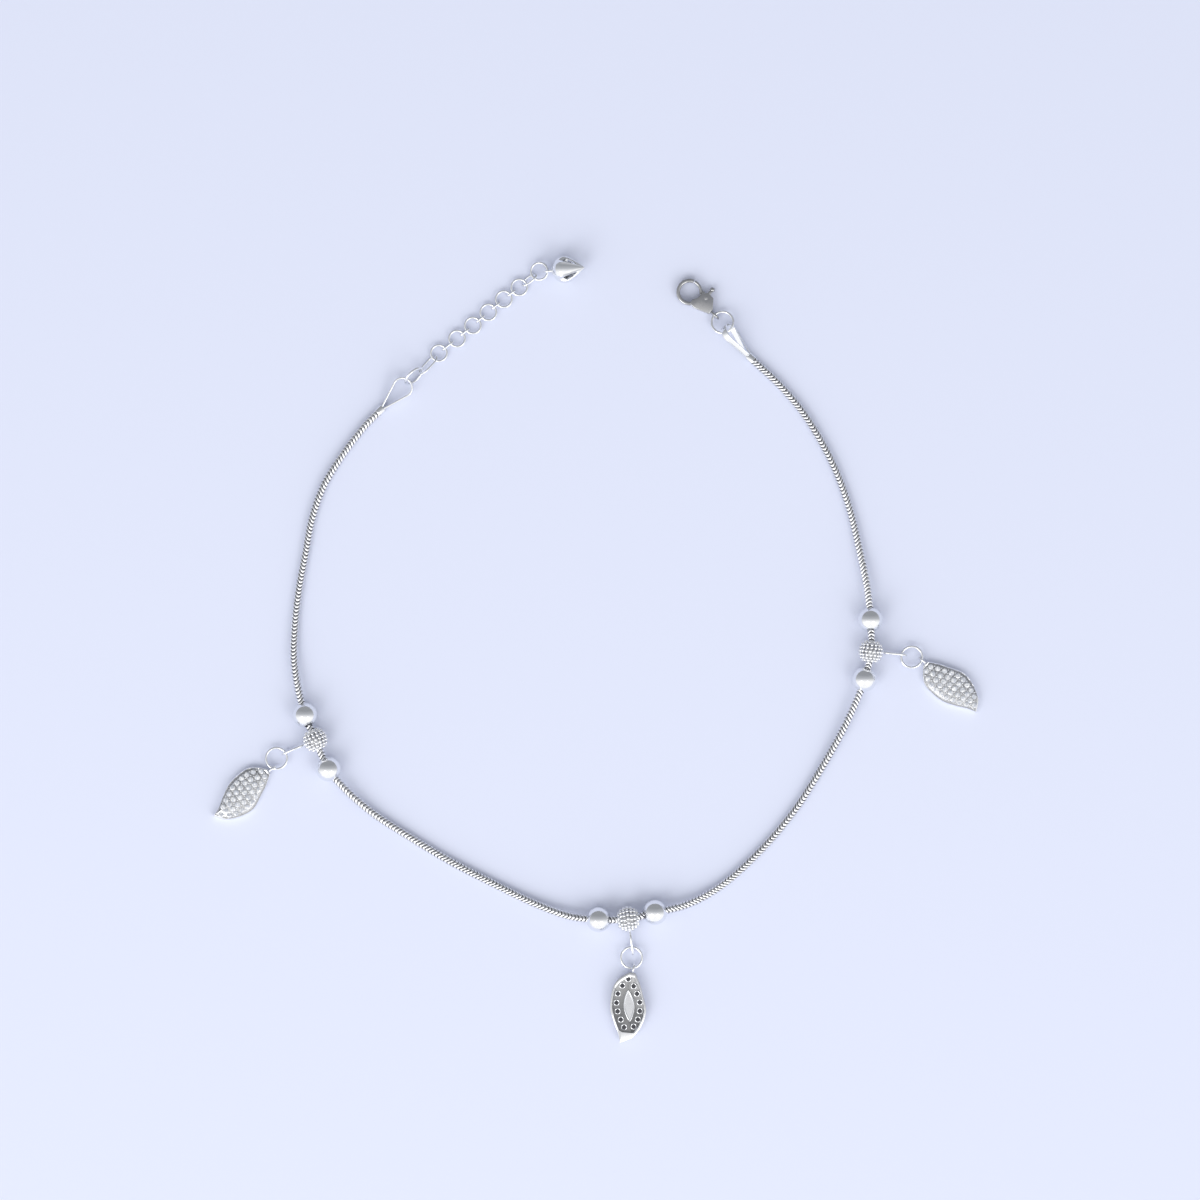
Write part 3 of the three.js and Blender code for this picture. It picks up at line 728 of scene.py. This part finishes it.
def leaf_layers(given):
    return (
        (0.55, 0.05, True, BACK), (0.55, 0.84, True, BACK), (0.5, 0.865, True, BACK),
        (0.06, 0.88, True, WALL), (0.0, 0.9, True, WALL), (0.0, 0.975, False, WALL),
        (0.06, 1.0, False, WALL), (given.wall - 0.08, 1.0, False, WALL),
        (given.wall + 0.04, 0.985, False, WALL), (given.wall + 0.12, 0.955, False, WALL),
        (given.wall + 0.08, 0.93, False, WALL), (given.dome - 0.42, 0.87, False, GROUND),
        (given.dome - 0.22, 0.7, False, GROUND), (given.dome - 0.12, 0.45, False, GROUND),
        (given.dome - 0.08, 0.1, False, GROUND),
    )


def leaf_height(outline, layers, point):
    """The height of the leaf's face over a point."""
    ray = point - LEAF_MIDDLE
    reach = ray.length
    best = max(outline, key=lambda p: (p - LEAF_MIDDLE).normalized().dot(
        ray.normalized()) if reach > 1e-6 else 0)
    share = reach / (best - LEAF_MIDDLE).length
    face = [(row[1], row[0]) for row in layers if row[3] == GROUND][::-1]
    return float(np.interp(share, [row[0] for row in face], [row[1] for row in face]))


def leaf_body(outline, layers):
    """The leaf's closed skin, from rings of its own outline."""
    bm = bmesh.new()
    verts = [bm.verts.new(point) for point in outline]
    edges = [bm.edges.new(pair) for pair in zip(verts, [*verts[1:], verts[0]])]

    def set_ring(ring, row):
        height, share, short, _ = row
        for vert, point in zip(ring, outline):
            flat = LEAF_MIDDLE + (point - LEAF_MIDDLE) * share
            beyond = max(0.0, flat.x - RECESS_END) if short else 0.0
            vert.co = (flat.x - 0.85 * beyond, flat.y, height)

    set_ring(verts, layers[0])
    bmesh.ops.contextual_create(bm, geom=edges)
    bm.faces.ensure_lookup_table()
    bm.faces[0].material_index = BACK
    last, ring = edges, verts
    for row in layers[1:]:
        made = bmesh.ops.extrude_edge_only(bm, edges=last)["geom"]
        for face in made:
            if isinstance(face, bmesh.types.BMFace):
                face.material_index = row[3]
        last = [g for g in made if isinstance(g, bmesh.types.BMEdge)]
        fresh = [g for g in made if isinstance(g, bmesh.types.BMVert)]
        ring = [min(fresh, key=lambda v, o=old: (v.co - o.co).length) for old in ring]
        set_ring(ring, row)
    for face in bmesh.ops.contextual_create(bm, geom=last)["faces"]:
        face.material_index = GROUND
    bmesh.ops.recalc_face_normals(bm, faces=bm.faces[:])
    return bm


def stone_shape(radius, sides):
    """A round brilliant: a flat table, a crown and a pointed pavilion."""
    rows = ((0.0, 0.34 * radius), (0.58 * radius, 0.34 * radius), (radius, 0.06 * radius),
            (radius, 0.0), (0.0, -0.85 * radius))
    bm = lathe(rows, sides, close=False)
    bmesh.ops.rotate(bm, verts=bm.verts[:], matrix=Matrix.Rotation(math.pi / 2, 3, "X"))
    return bm


def stone_spots(outline, layers, given):
    """Stones in rows across the leaf, as many as each row has room for."""
    spots = []
    count = 10
    for row in range(count):
        x = 0.95 + (LEAF_LENGTH - 2.0) * row / (count - 1)
        low, high = leaf_span(outline, x)
        low, high = low + 0.42, high - 0.42
        fit = max(1, int((high - low) / given.spacing + 0.75))
        for i in range(fit):
            y = (low + high) / 2 + ((i - (fit - 1) / 2) * (high - low) / max(fit, 1))
            point = Vector((x, y, 0))
            spots.append(Vector((x, y, leaf_height(outline, layers, point))))
    return spots


def bead_spots(stones, outline, layers, spacing):
    """Raised beads between neighbouring stones."""
    spots = []
    for i, a in enumerate(stones):
        for b in stones[i + 1:]:
            if (a - b).length < 1.22 * spacing:
                middle = (a + b) / 2
                step = Vector((b.y - a.y, a.x - b.x, 0)).normalized() * 0.3
                for point in (middle + step, middle - step):
                    low, high = leaf_span(outline, point.x)
                    inside = low + 0.3 < point.y < high - 0.3
                    clear = all((point - s).xy.length > 0.22 for s in spots)
                    away = all((point - s).xy.length > 0.5 for s in stones)
                    if inside and clear and away:
                        height = leaf_height(outline, layers, Vector((point.x, point.y, 0)))
                        spots.append(Vector((point.x, point.y, height)))
    return spots


def tip_frame(node, ring_node):
    """The leaf's own frame: X from its top to its tip, Z towards its face."""
    points = cad_points(node)
    hang = np.array(principal(ring_node)[0])
    tip = Vector(points[np.argmax(np.linalg.norm((points - hang)[:, :2], axis=1))])
    far = points[np.argmax(np.linalg.norm((points - np.array(tip))[:, :2], axis=1))]
    loop = points[np.linalg.norm(points[:, :2] - far[:2], axis=1) < 1.38].mean(axis=0)
    along = Vector((tip.x - loop[0], tip.y - loop[1], 0)).normalized()
    up = Vector((0, 0, 1))
    top = points[:, 2].max()
    face_up = (points[:, 2] < 0.01).sum() > 8
    place = Vector((tip.x, tip.y, 0)) - along * LEAF_LENGTH
    if face_up:
        return basis(along, up.cross(along), up, place)
    return basis(along, up.cross(along), -up, place + Vector((0, 0, top)))


def lens_points(half_width=0.72, steps=18):
    """The long pointed opening in the leaf's back."""
    start, end = LENS_ENDS
    across = Vector((0, 0, 1)).cross(end - start).normalized() * half_width
    points = []
    for share, side in [(i / steps, -1) for i in range(steps)] + [
            (1 - i / steps, 1) for i in range(steps)]:
        swell = side * math.sin(math.pi * share) ** 0.85 if 0 < share < 1 else 0.0
        points.append(start.lerp(end, share) + across * swell)
    return points


class ANKLET_OT_charms(bpy.types.Operator):
    """Builds the leaf charms: body, stones, raised beads and the open back"""

    bl_idname = "anklet.charms"
    bl_label = "Leaf charms"

    def execute(self, context):
        given = context.scene.anklet_leaf
        outline = leaf_outline()
        layers = leaf_layers(given)
        stones = stone_spots(outline, layers, given)
        beads = bead_spots(stones, outline, layers, given.spacing)
        for side in SIDES:
            place = tip_frame(f"leaf_charm_{side}", f"charm_ring_{side}")
            body = bmesh.new()
            add_to(body, leaf_body(outline, layers), place)
            hang = Matrix.Translation((-0.6, 0, 0.93)) @ Matrix.Rotation(math.pi / 2, 4, "X")
            add_to(body, ring_mesh(0.7, 0.17), place @ hang)
            leaf = finish(body, f"leaf_body_{side}", setting_silver(),
                          [f"leaf_charm_{side}"])
            # The face's ground between the stones is painted darker: painted shade.
            leaf.data.materials.append(ground_silver())
            leaf.data.materials.append(back_silver())
            gems = bmesh.new()
            lift = Vector((0, 0, 0.06))
            tilts = np.random.default_rng(7).uniform(-0.2, 0.2, (len(stones), 2))
            stamp(gems, stone_shape(given.stone, given.segments),
                  [place @ Matrix.Translation(spot + lift) @ Matrix.Rotation(a, 4, "X")
                   @ Matrix.Rotation(b, 4, "Y") for spot, (a, b) in zip(stones, tilts)])
            finish(gems, f"leaf_stones_{side}", white_stone(), smooth=False)
            raised = bmesh.new()
            grain = bmesh.new()
            bmesh.ops.create_uvsphere(grain, u_segments=7, v_segments=5, radius=0.13)
            stamp(raised, grain, [place @ Matrix.Translation(spot) for spot in beads])
            finish(raised, f"leaf_raised_beads_{side}", polished_silver())
            self.back(side, place)
        return {"FINISHED"}

    def back(self, side, place):
        """The bright rims of the back's openings, and dark wells in them painted as the
        shade inside the holes.
        """
        spots = [Vector((x, y, 0.52)) for x, y in AZURES]
        rims = bmesh.new()
        stamp(rims, ring_mesh(0.4, 0.075, sides=8, count=20),
              [place @ Matrix.Translation(spot) for spot in spots])
        add_to(rims, wire_loop(lens_points(), Vector((0, 0, 1)), 0.13),
               place @ Matrix.Translation((0, 0, 0.5)))
        finish(rims, f"leaf_azure_rims_{side}", polished_silver())
        # Dark discs in the openings: painted shade of the holes.
        wells = bmesh.new()
        well = bmesh.new()
        bmesh.ops.create_cone(well, cap_ends=True, segments=16, radius1=0.38,
                              radius2=0.38, depth=0.06)
        stamp(wells, well, [place @ Matrix.Translation(spot) for spot in spots])
        finish(wells, f"leaf_azure_wells_{side}", hollow_silver())
        lens = bmesh.new()
        add_to(lens, slab([(p.x, p.y) for p in lens_points()], 0.06, 0.01, 1),
               place @ Matrix.Translation((0, 0, 0.5)))
        finish(lens, f"leaf_lens_{side}", setting_silver())


# ---- rings and links ----
RING_WIRES = {"charm_ring_left": 0.2, "charm_ring_bottom": 0.2, "charm_ring_right": 0.2,
              "clasp_ring": 0.21, "extender_jump_ring": 0.21, "extender_end_ring": 0.2}
FLAT_WIRE = 0.19
LINK_WIRE = 0.15


def ring_at(node, wire, split):
    """A wire ring where a CAD ring lies, of the same radius."""
    middle, (x_axis, y_axis, _) = principal(node)
    points = cad_points(node)
    outer = np.linalg.norm(points - np.array(middle), axis=1).max()
    place = basis(x_axis, y_axis, x_axis.cross(y_axis), middle)
    bm = bmesh.new()
    add_to(bm, ring_mesh(outer - wire, wire, split), place)
    return bm


class ANKLET_OT_rings(bpy.types.Operator):
    """Builds the jump rings, the extender's flat rings and its small links"""

    bl_idname = "anklet.rings"
    bl_label = "Rings and links"

    def execute(self, context):
        silver = polished_silver()
        for node, wire in RING_WIRES.items():
            finish(ring_at(node, wire, True), f"wire_{node}", silver,
                   [node])
        for number in range(1, 7):
            node = f"extender_ring_{number}"
            finish(ring_at(node, FLAT_WIRE, False), f"wire_{node}", silver,
                   [node])
        for number in range(1, 8):
            self.link(f"extender_link_{number}", silver)
        return {"FINISHED"}

    def link(self, node, silver):
        middle, (along, tall, _) = principal(node)
        points = cad_points(node) - np.array(middle)
        half_length = abs(points @ np.array(along)).max() - LINK_WIRE
        half_height = abs(points @ np.array(tall)).max() - LINK_WIRE
        place = basis(along, tall.cross(along), tall, middle)
        bm = bmesh.new()
        loop = wire_loop(oval_points(half_length, half_height), Vector((0, 1, 0)), LINK_WIRE)
        add_to(bm, loop, place)
        finish(bm, f"wire_{node}", silver, [node])


# ---- teardrop ends ----
def teardrop_points(length, radius, neck):
    """The middle line of a strip bent to a teardrop, from one side of its neck."""
    centre = length - radius
    slope = math.degrees(math.asin((radius - neck) / centre))
    bend = [Vector((centre, 0, 0)) + point
            for point in arc_points(radius, -90 - slope, 90 + slope, 30)]
    start, end = Vector((0.1, -neck, 0)), Vector((0.1, neck, 0))
    before = [start.lerp(bend[0], i / 6) for i in range(6)]
    after = [bend[-1].lerp(end, i / 6) for i in range(1, 7)]
    return [*before, *bend, *after]


class ANKLET_OT_ends(bpy.types.Operator):
    """Builds the teardrop end loops with the collar that holds the chain"""

    bl_idname = "anklet.ends"
    bl_label = "Chain ends"

    def execute(self, context):
        for node, end, inner in (("chain_end_free", 0, 1), ("chain_end_clasp", -1, -2)):
            self.end_loop(node, ROUTE_POINTS[end], ROUTE_POINTS[inner])
        return {"FINISHED"}

    def end_loop(self, node, chain_tip, chain_inside):
        middle, (along, across, tall) = principal(node)
        if along.dot(middle - chain_tip) < 0:
            along.negate()
        tall = along.cross(across).normalized()
        points = cad_points(node) - np.array(middle)
        neck_at = (points @ np.array(along)).min()
        place = basis(along, across, tall, middle + along * float(neck_at))
        strip, height = 0.3, 1.0
        loop = bmesh.new()
        path = teardrop_points(6.0 - strip / 2, 1.6 - strip / 2, 0.2)
        verts = strip_profile(loop, strip, height, 0.08)
        sweep(loop, verts, path_frames(path, Vector((0, 0, 1)), False), False)
        bm = bmesh.new()
        add_to(bm, loop, place)
        collar = lathe([(0.67, -0.55), (0.67, 0.35), (0.6, 0.5), (0.4, 0.55), (0.4, -0.55)],
                       28)
        back = (chain_tip - chain_inside).normalized()
        side = back.cross(Vector((0, 0, 1))).normalized()
        lifted = chain_tip - back * 0.1 + Vector((0, 0, 0.05))
        spot = basis(side, back, side.cross(back), lifted)
        add_to(bm, collar, spot)
        finish(bm, f"strip_{node}", polished_silver(), [node])


# ---- lobster clasp ----
PIVOT = Vector((2.45, 1.0, 0))
TAIL_TIP = Vector((6.07, 0, 0))


def clasp_frame():
    """The clasp's own frame: the claw's middle at its origin, X towards the tail."""
    joint = frame["joints"][0]
    pivot = Vector(joint["pos_m"]) * 1000
    points = cad_points("clasp_body")
    ring = principal("clasp_ring")[0]
    near = sorted(points, key=lambda p: (Vector(p).xy - ring.xy).length)
    far = max(near[:40], key=lambda p: (Vector(p).xy - pivot.xy).length)
    world = Vector(far).xy - pivot.xy
    local = (TAIL_TIP - PIVOT).xy
    yaw = math.atan2(world.y, world.x) - math.atan2(local.y, local.x)
    turn = Matrix.Rotation(yaw, 4, "Z")
    return Matrix.Translation(pivot) @ turn @ Matrix.Translation(-PIVOT)


def band(radius, width, height, start, end, count):
    """A bent bar of the claw."""
    bm = bmesh.new()
    verts = strip_profile(bm, width, height, 0.2)
    points = arc_points(radius, start, end, count)
    sweep(bm, verts, path_frames(points, Vector((0, 0, 1)), False), False)
    return bm


class ANKLET_OT_clasp(bpy.types.Operator):
    """Builds the lobster clasp's body and its sprung lever"""

    bl_idname = "anklet.clasp"
    bl_label = "Lobster clasp"

    def execute(self, context):
        place = clasp_frame()
        self.body(place)
        self.lever(place)
        return {"FINISHED"}

    def body(self, place):
        bm = bmesh.new()
        add_to(bm, band(1.735, 0.6, 1.1, 112, 342, 44), place)
        cheek = ((1.15, -1.3), (2.2, -1.3), (4.4, -0.45), (4.4, 0.45), (3.3, 1.75),
                 (2.1, 1.8), (1.55, 1.0), (1.5, 0.2), (1.1, -0.6))
        for height in (-0.625, 0.625):
            spot = place @ Matrix.Translation((0, 0, height))
            add_to(bm, slab(cheek, 0.35, 0.09, 3), spot)
        web = ((1.2, -1.22), (2.2, -1.2), (4.3, -0.38), (4.3, 0.0), (1.45, 0.0),
               (1.2, -0.6))
        add_to(bm, slab(web, 1.2, 0.05), place)
        for height in (-0.82, 0.82):
            rivet = bmesh.new()
            bmesh.ops.create_uvsphere(rivet, u_segments=16, v_segments=8, radius=0.3)
            bmesh.ops.scale(rivet, vec=(1, 1, 0.15), verts=rivet.verts[:])
            add_to(bm, rivet, place @ Matrix.Translation((PIVOT.x, PIVOT.y, height * 0.95)))
        pin = bmesh.new()
        bmesh.ops.create_cone(pin, cap_ends=True, segments=16, radius1=0.25, radius2=0.25,
                              depth=1.2)
        add_to(bm, pin, place @ Matrix.Translation(PIVOT))
        tail = Matrix.Translation((5.15, 0, 0.12)) @ Matrix.Rotation(math.pi / 2, 4, "X")
        add_to(bm, ring_mesh(0.72, 0.2), place @ tail)
        finish(bm, "lobster_body", clasp_silver(), ["clasp_body"])

    def lever(self, place):
        bm = bmesh.new()
        add_to(bm, band(1.735, 0.5, 0.56, 33, 106, 18), place)
        arm = ((2.4, 0.42), (2.62, 1.6), (1.3, 1.52), (1.22, 0.86))
        add_to(bm, slab(arm, 0.56, 0.08), place)
        neck = ((2.05, 1.2), (2.75, 1.2), (2.5, 2.5), (2.1, 2.5))
        add_to(bm, slab(neck, 0.5, 0.1), place)
        hub = lathe([(0.45, -0.28), (0.66, -0.28), (0.72, -0.22), (0.72, 0.22),
                     (0.66, 0.28), (0.45, 0.28)], 28)
        add_to(bm, hub, place @ Matrix.Translation(PIVOT) @ Matrix.Rotation(
            math.pi / 2, 4, "X"))
        knob = bmesh.new()
        bmesh.ops.create_uvsphere(knob, u_segments=20, v_segments=12, radius=0.42)
        add_to(bm, knob, place @ Matrix.Translation((2.3, 2.6, 0)))
        finish(bm, "lobster_lever", clasp_silver(), ["clasp_lever"],
               body=LEVER)


# ---- bell ----
def bell_shell(rows=44, segments=96):
    """Four petals folded to a point, with a lens-shaped opening at each seam."""
    heights = np.linspace(0, BELL_PROFILE[-1][0], rows)
    widths = np.interp(heights, *zip(*BELL_PROFILE))
    kernel = np.array((0.25, 0.5, 0.25))
    for _ in range(3):
        widths[1:-1] = np.convolve(widths, kernel, "same")[1:-1]
    bm = lathe(list(zip(widths, heights)), segments, close=False)
    opened = []
    for vert in bm.verts:
        around = math.atan2(vert.co.z, vert.co.x)
        seam = around % (math.pi / 2) - math.pi / 4
        height = vert.co.y
        towards_tip = min(1.0, max(0.0, (height - 1.2) / 1.2))
        flare = 0.07 * math.exp(-((abs(seam) - 0.26) / 0.08) ** 2)
        pinch = 1 + towards_tip * (flare - 0.13 * math.exp(-(seam / 0.12) ** 2))
        vert.co.x *= pinch
        vert.co.z *= pinch
    for face in bm.faces:
        spot = face.calc_center_median()
        around = math.atan2(spot.z, spot.x)
        seam = around % (math.pi / 2) - math.pi / 4
        share = (spot.y - 2.0) / 2.0
        if 0 < share < 1:
            half = 0.36 * math.sin(math.pi * share)
            if abs(seam) * math.hypot(spot.x, spot.z) < half:
                opened.append(face)
    bmesh.ops.delete(bm, geom=opened, context="FACES")
    edge = [v for v in bm.verts if v.is_boundary]
    for _ in range(4):
        bmesh.ops.smooth_vert(bm, verts=edge, factor=0.5, use_axis_x=True, use_axis_y=True,
                              use_axis_z=True)
    bmesh.ops.recalc_face_normals(bm, faces=bm.faces[:])
    bmesh.ops.rotate(bm, verts=bm.verts[:], matrix=Matrix.Rotation(-math.pi / 2, 3, "Z"))
    return bm


class ANKLET_OT_bell(bpy.types.Operator):
    """Builds the small petalled bell at the free end"""

    bl_idname = "anklet.bell"
    bl_label = "Bell"

    def execute(self, context):
        middle, axes = principal("bell")
        along = axes[0]
        ring = principal("extender_end_ring")[0]
        if along.dot(middle - ring) < 0:
            along.negate()
        side = Vector((0, 0, 1)).cross(along).normalized()
        up = along.cross(side).normalized()
        points = cad_points("bell") - np.array(middle)
        loop_end = float((points @ np.array(along)).min())
        place = basis(along, side, up, middle + along * (loop_end + 0.87))
        shell = bell_shell()
        bmesh.ops.solidify(shell, geom=shell.faces[:], thickness=0.22)
        bm = bmesh.new()
        add_to(bm, shell, place @ Matrix.Translation((0.65, 0, 0)))
        add_to(bm, ring_mesh(0.7, 0.17), place @ Matrix.Rotation(math.pi / 2, 4, "X"))
        boss = lathe([(0.0, -0.12), (0.55, -0.1), (0.6, 0.05), (0.5, 0.16), (0.0, 0.2)], 24,
                     axis="X", close=False)
        add_to(bm, boss, place @ Matrix.Translation((0.72, 0, 0)))
        finish(bm, "petalled_bell", polished_silver(), ["bell"])
        return {"FINISHED"}


# ---- stage ----
class ANKLET_OT_stage(bpy.types.Operator):
    """Sets the camera, the pale surface and the soft lights"""

    bl_idname = "anklet.stage"
    bl_label = "Stage"

    def execute(self, context):
        self.camera(context.scene)
        self.floor(context.scene)
        self.lights(context.scene)
        self.world(context.scene)
        context.scene.view_settings.view_transform = "Standard"
        return {"FINISHED"}

    def camera(self, scene):
        """Straight above, far enough for an almost parallel view."""
        height, width = 0.9, 0.1824
        data = bpy.data.cameras.new("camera")
        data.lens = data.sensor_width * height / width
        camera = bpy.data.objects.new("camera", data)
        camera.location = (0.0006, 0.0075, height)
        scene.collection.objects.link(camera)
        scene.camera = camera

    def floor(self, scene):
        bm = bmesh.new()
        bmesh.ops.create_grid(bm, x_segments=1, y_segments=1, size=0.9)
        mesh = bpy.data.meshes.new("surface")
        bm.to_mesh(mesh)
        bm.free()
        floor = bpy.data.objects.new("surface", mesh)
        scene.collection.objects.link(floor)
        floor.location.z = -0.00001
        material = bpy.data.materials.new("pale_surface")
        material.use_nodes = True
        shader = material.node_tree.nodes["Principled BSDF"]
        shader.inputs["Base Color"].default_value = (*scene.anklet_metal.surface, 1)
        shader.inputs["Roughness"].default_value = 0.6
        mesh.materials.append(material)

    def lights(self, scene):
        """Two softboxes on the near side, left and right."""
        for name, place, width, power in (
                ("softbox_left", (-0.42, -0.52, 0.62), 0.46, 2.2),
                ("softbox_right", (0.4, -0.5, 0.62), 0.4, 1.3)):
            data = bpy.data.lights.new(name, "AREA")
            data.shape = "RECTANGLE"
            data.size = width
            data.size_y = width * 1.3
            data.energy = power
            light = bpy.data.objects.new(name, data)
            light.location = place
            light.rotation_euler = (-Vector(place)).to_track_quat("-Z", "Y").to_euler()
            scene.collection.objects.link(light)

    def world(self, scene):
        """Pale surroundings, greyer on the far side."""
        world = bpy.data.worlds.new("surroundings")
        scene.world = world
        world.use_nodes = True
        nodes, links = world.node_tree.nodes, world.node_tree.links
        place = nodes.new("ShaderNodeTexCoord")
        split = nodes.new("ShaderNodeSeparateXYZ")
        ramp = nodes.new("ShaderNodeValToRGB")
        shift = nodes.new("ShaderNodeMapRange")
        shift.inputs["From Min"].default_value = -1.0
        ramp.color_ramp.elements[0].position = 0.34
        ramp.color_ramp.elements[0].color = (1.0, 1.0, 1.0, 1)
        ramp.color_ramp.elements[1].position = 0.56
        ramp.color_ramp.elements[1].color = (0.47, 0.48, 0.51, 1)
        far = ramp.color_ramp.elements.new(0.8)
        far.color = (0.3, 0.31, 0.33, 1)
        links.new(place.outputs["Generated"], split.inputs["Vector"])
        links.new(split.outputs["Y"], shift.inputs["Value"])
        links.new(shift.outputs["Result"], ramp.inputs["Fac"])
        links.new(ramp.outputs["Color"], nodes["Background"].inputs["Color"])
        nodes["Background"].inputs["Strength"].default_value = 1.12


STEPS = (ANKLET_OT_stage, ANKLET_OT_chain, ANKLET_OT_beads, ANKLET_OT_charms,
         ANKLET_OT_rings, ANKLET_OT_ends, ANKLET_OT_clasp, ANKLET_OT_bell)
SETTINGS = {"anklet_chain": ChainSettings, "anklet_beads": BeadSettings,
            "anklet_leaf": LeafSettings, "anklet_metal": MetalSettings}


class ANKLET_PT_panel(bpy.types.Panel):
    """Lists the anklet's sizes and the steps that build it"""

    bl_idname = "ANKLET_PT_panel"
    bl_label = "Payal anklet"
    bl_space_type = "VIEW_3D"
    bl_region_type = "UI"
    bl_category = "Anklet"

    def draw(self, context):
        layout = self.layout
        for group in SETTINGS:
            given = getattr(context.scene, group)
            for prop in type(given).__annotations__:
                layout.prop(given, prop)
        for step in STEPS:
            layout.operator(step.bl_idname)


CLASSES = (*SETTINGS.values(), *STEPS, ANKLET_PT_panel)


def register():
    for cls in CLASSES:
        bpy.utils.register_class(cls)
    for name, cls in SETTINGS.items():
        setattr(bpy.types.Scene, name, PointerProperty(type=cls))


def unregister():
    for name in SETTINGS:
        delattr(bpy.types.Scene, name)
    for cls in reversed(CLASSES):
        bpy.utils.unregister_class(cls)


def main():
    register()
    for step in STEPS:
        group, name = step.bl_idname.split(".")
        getattr(getattr(bpy.ops, group), name)()


if __name__ == "__main__":
    main()
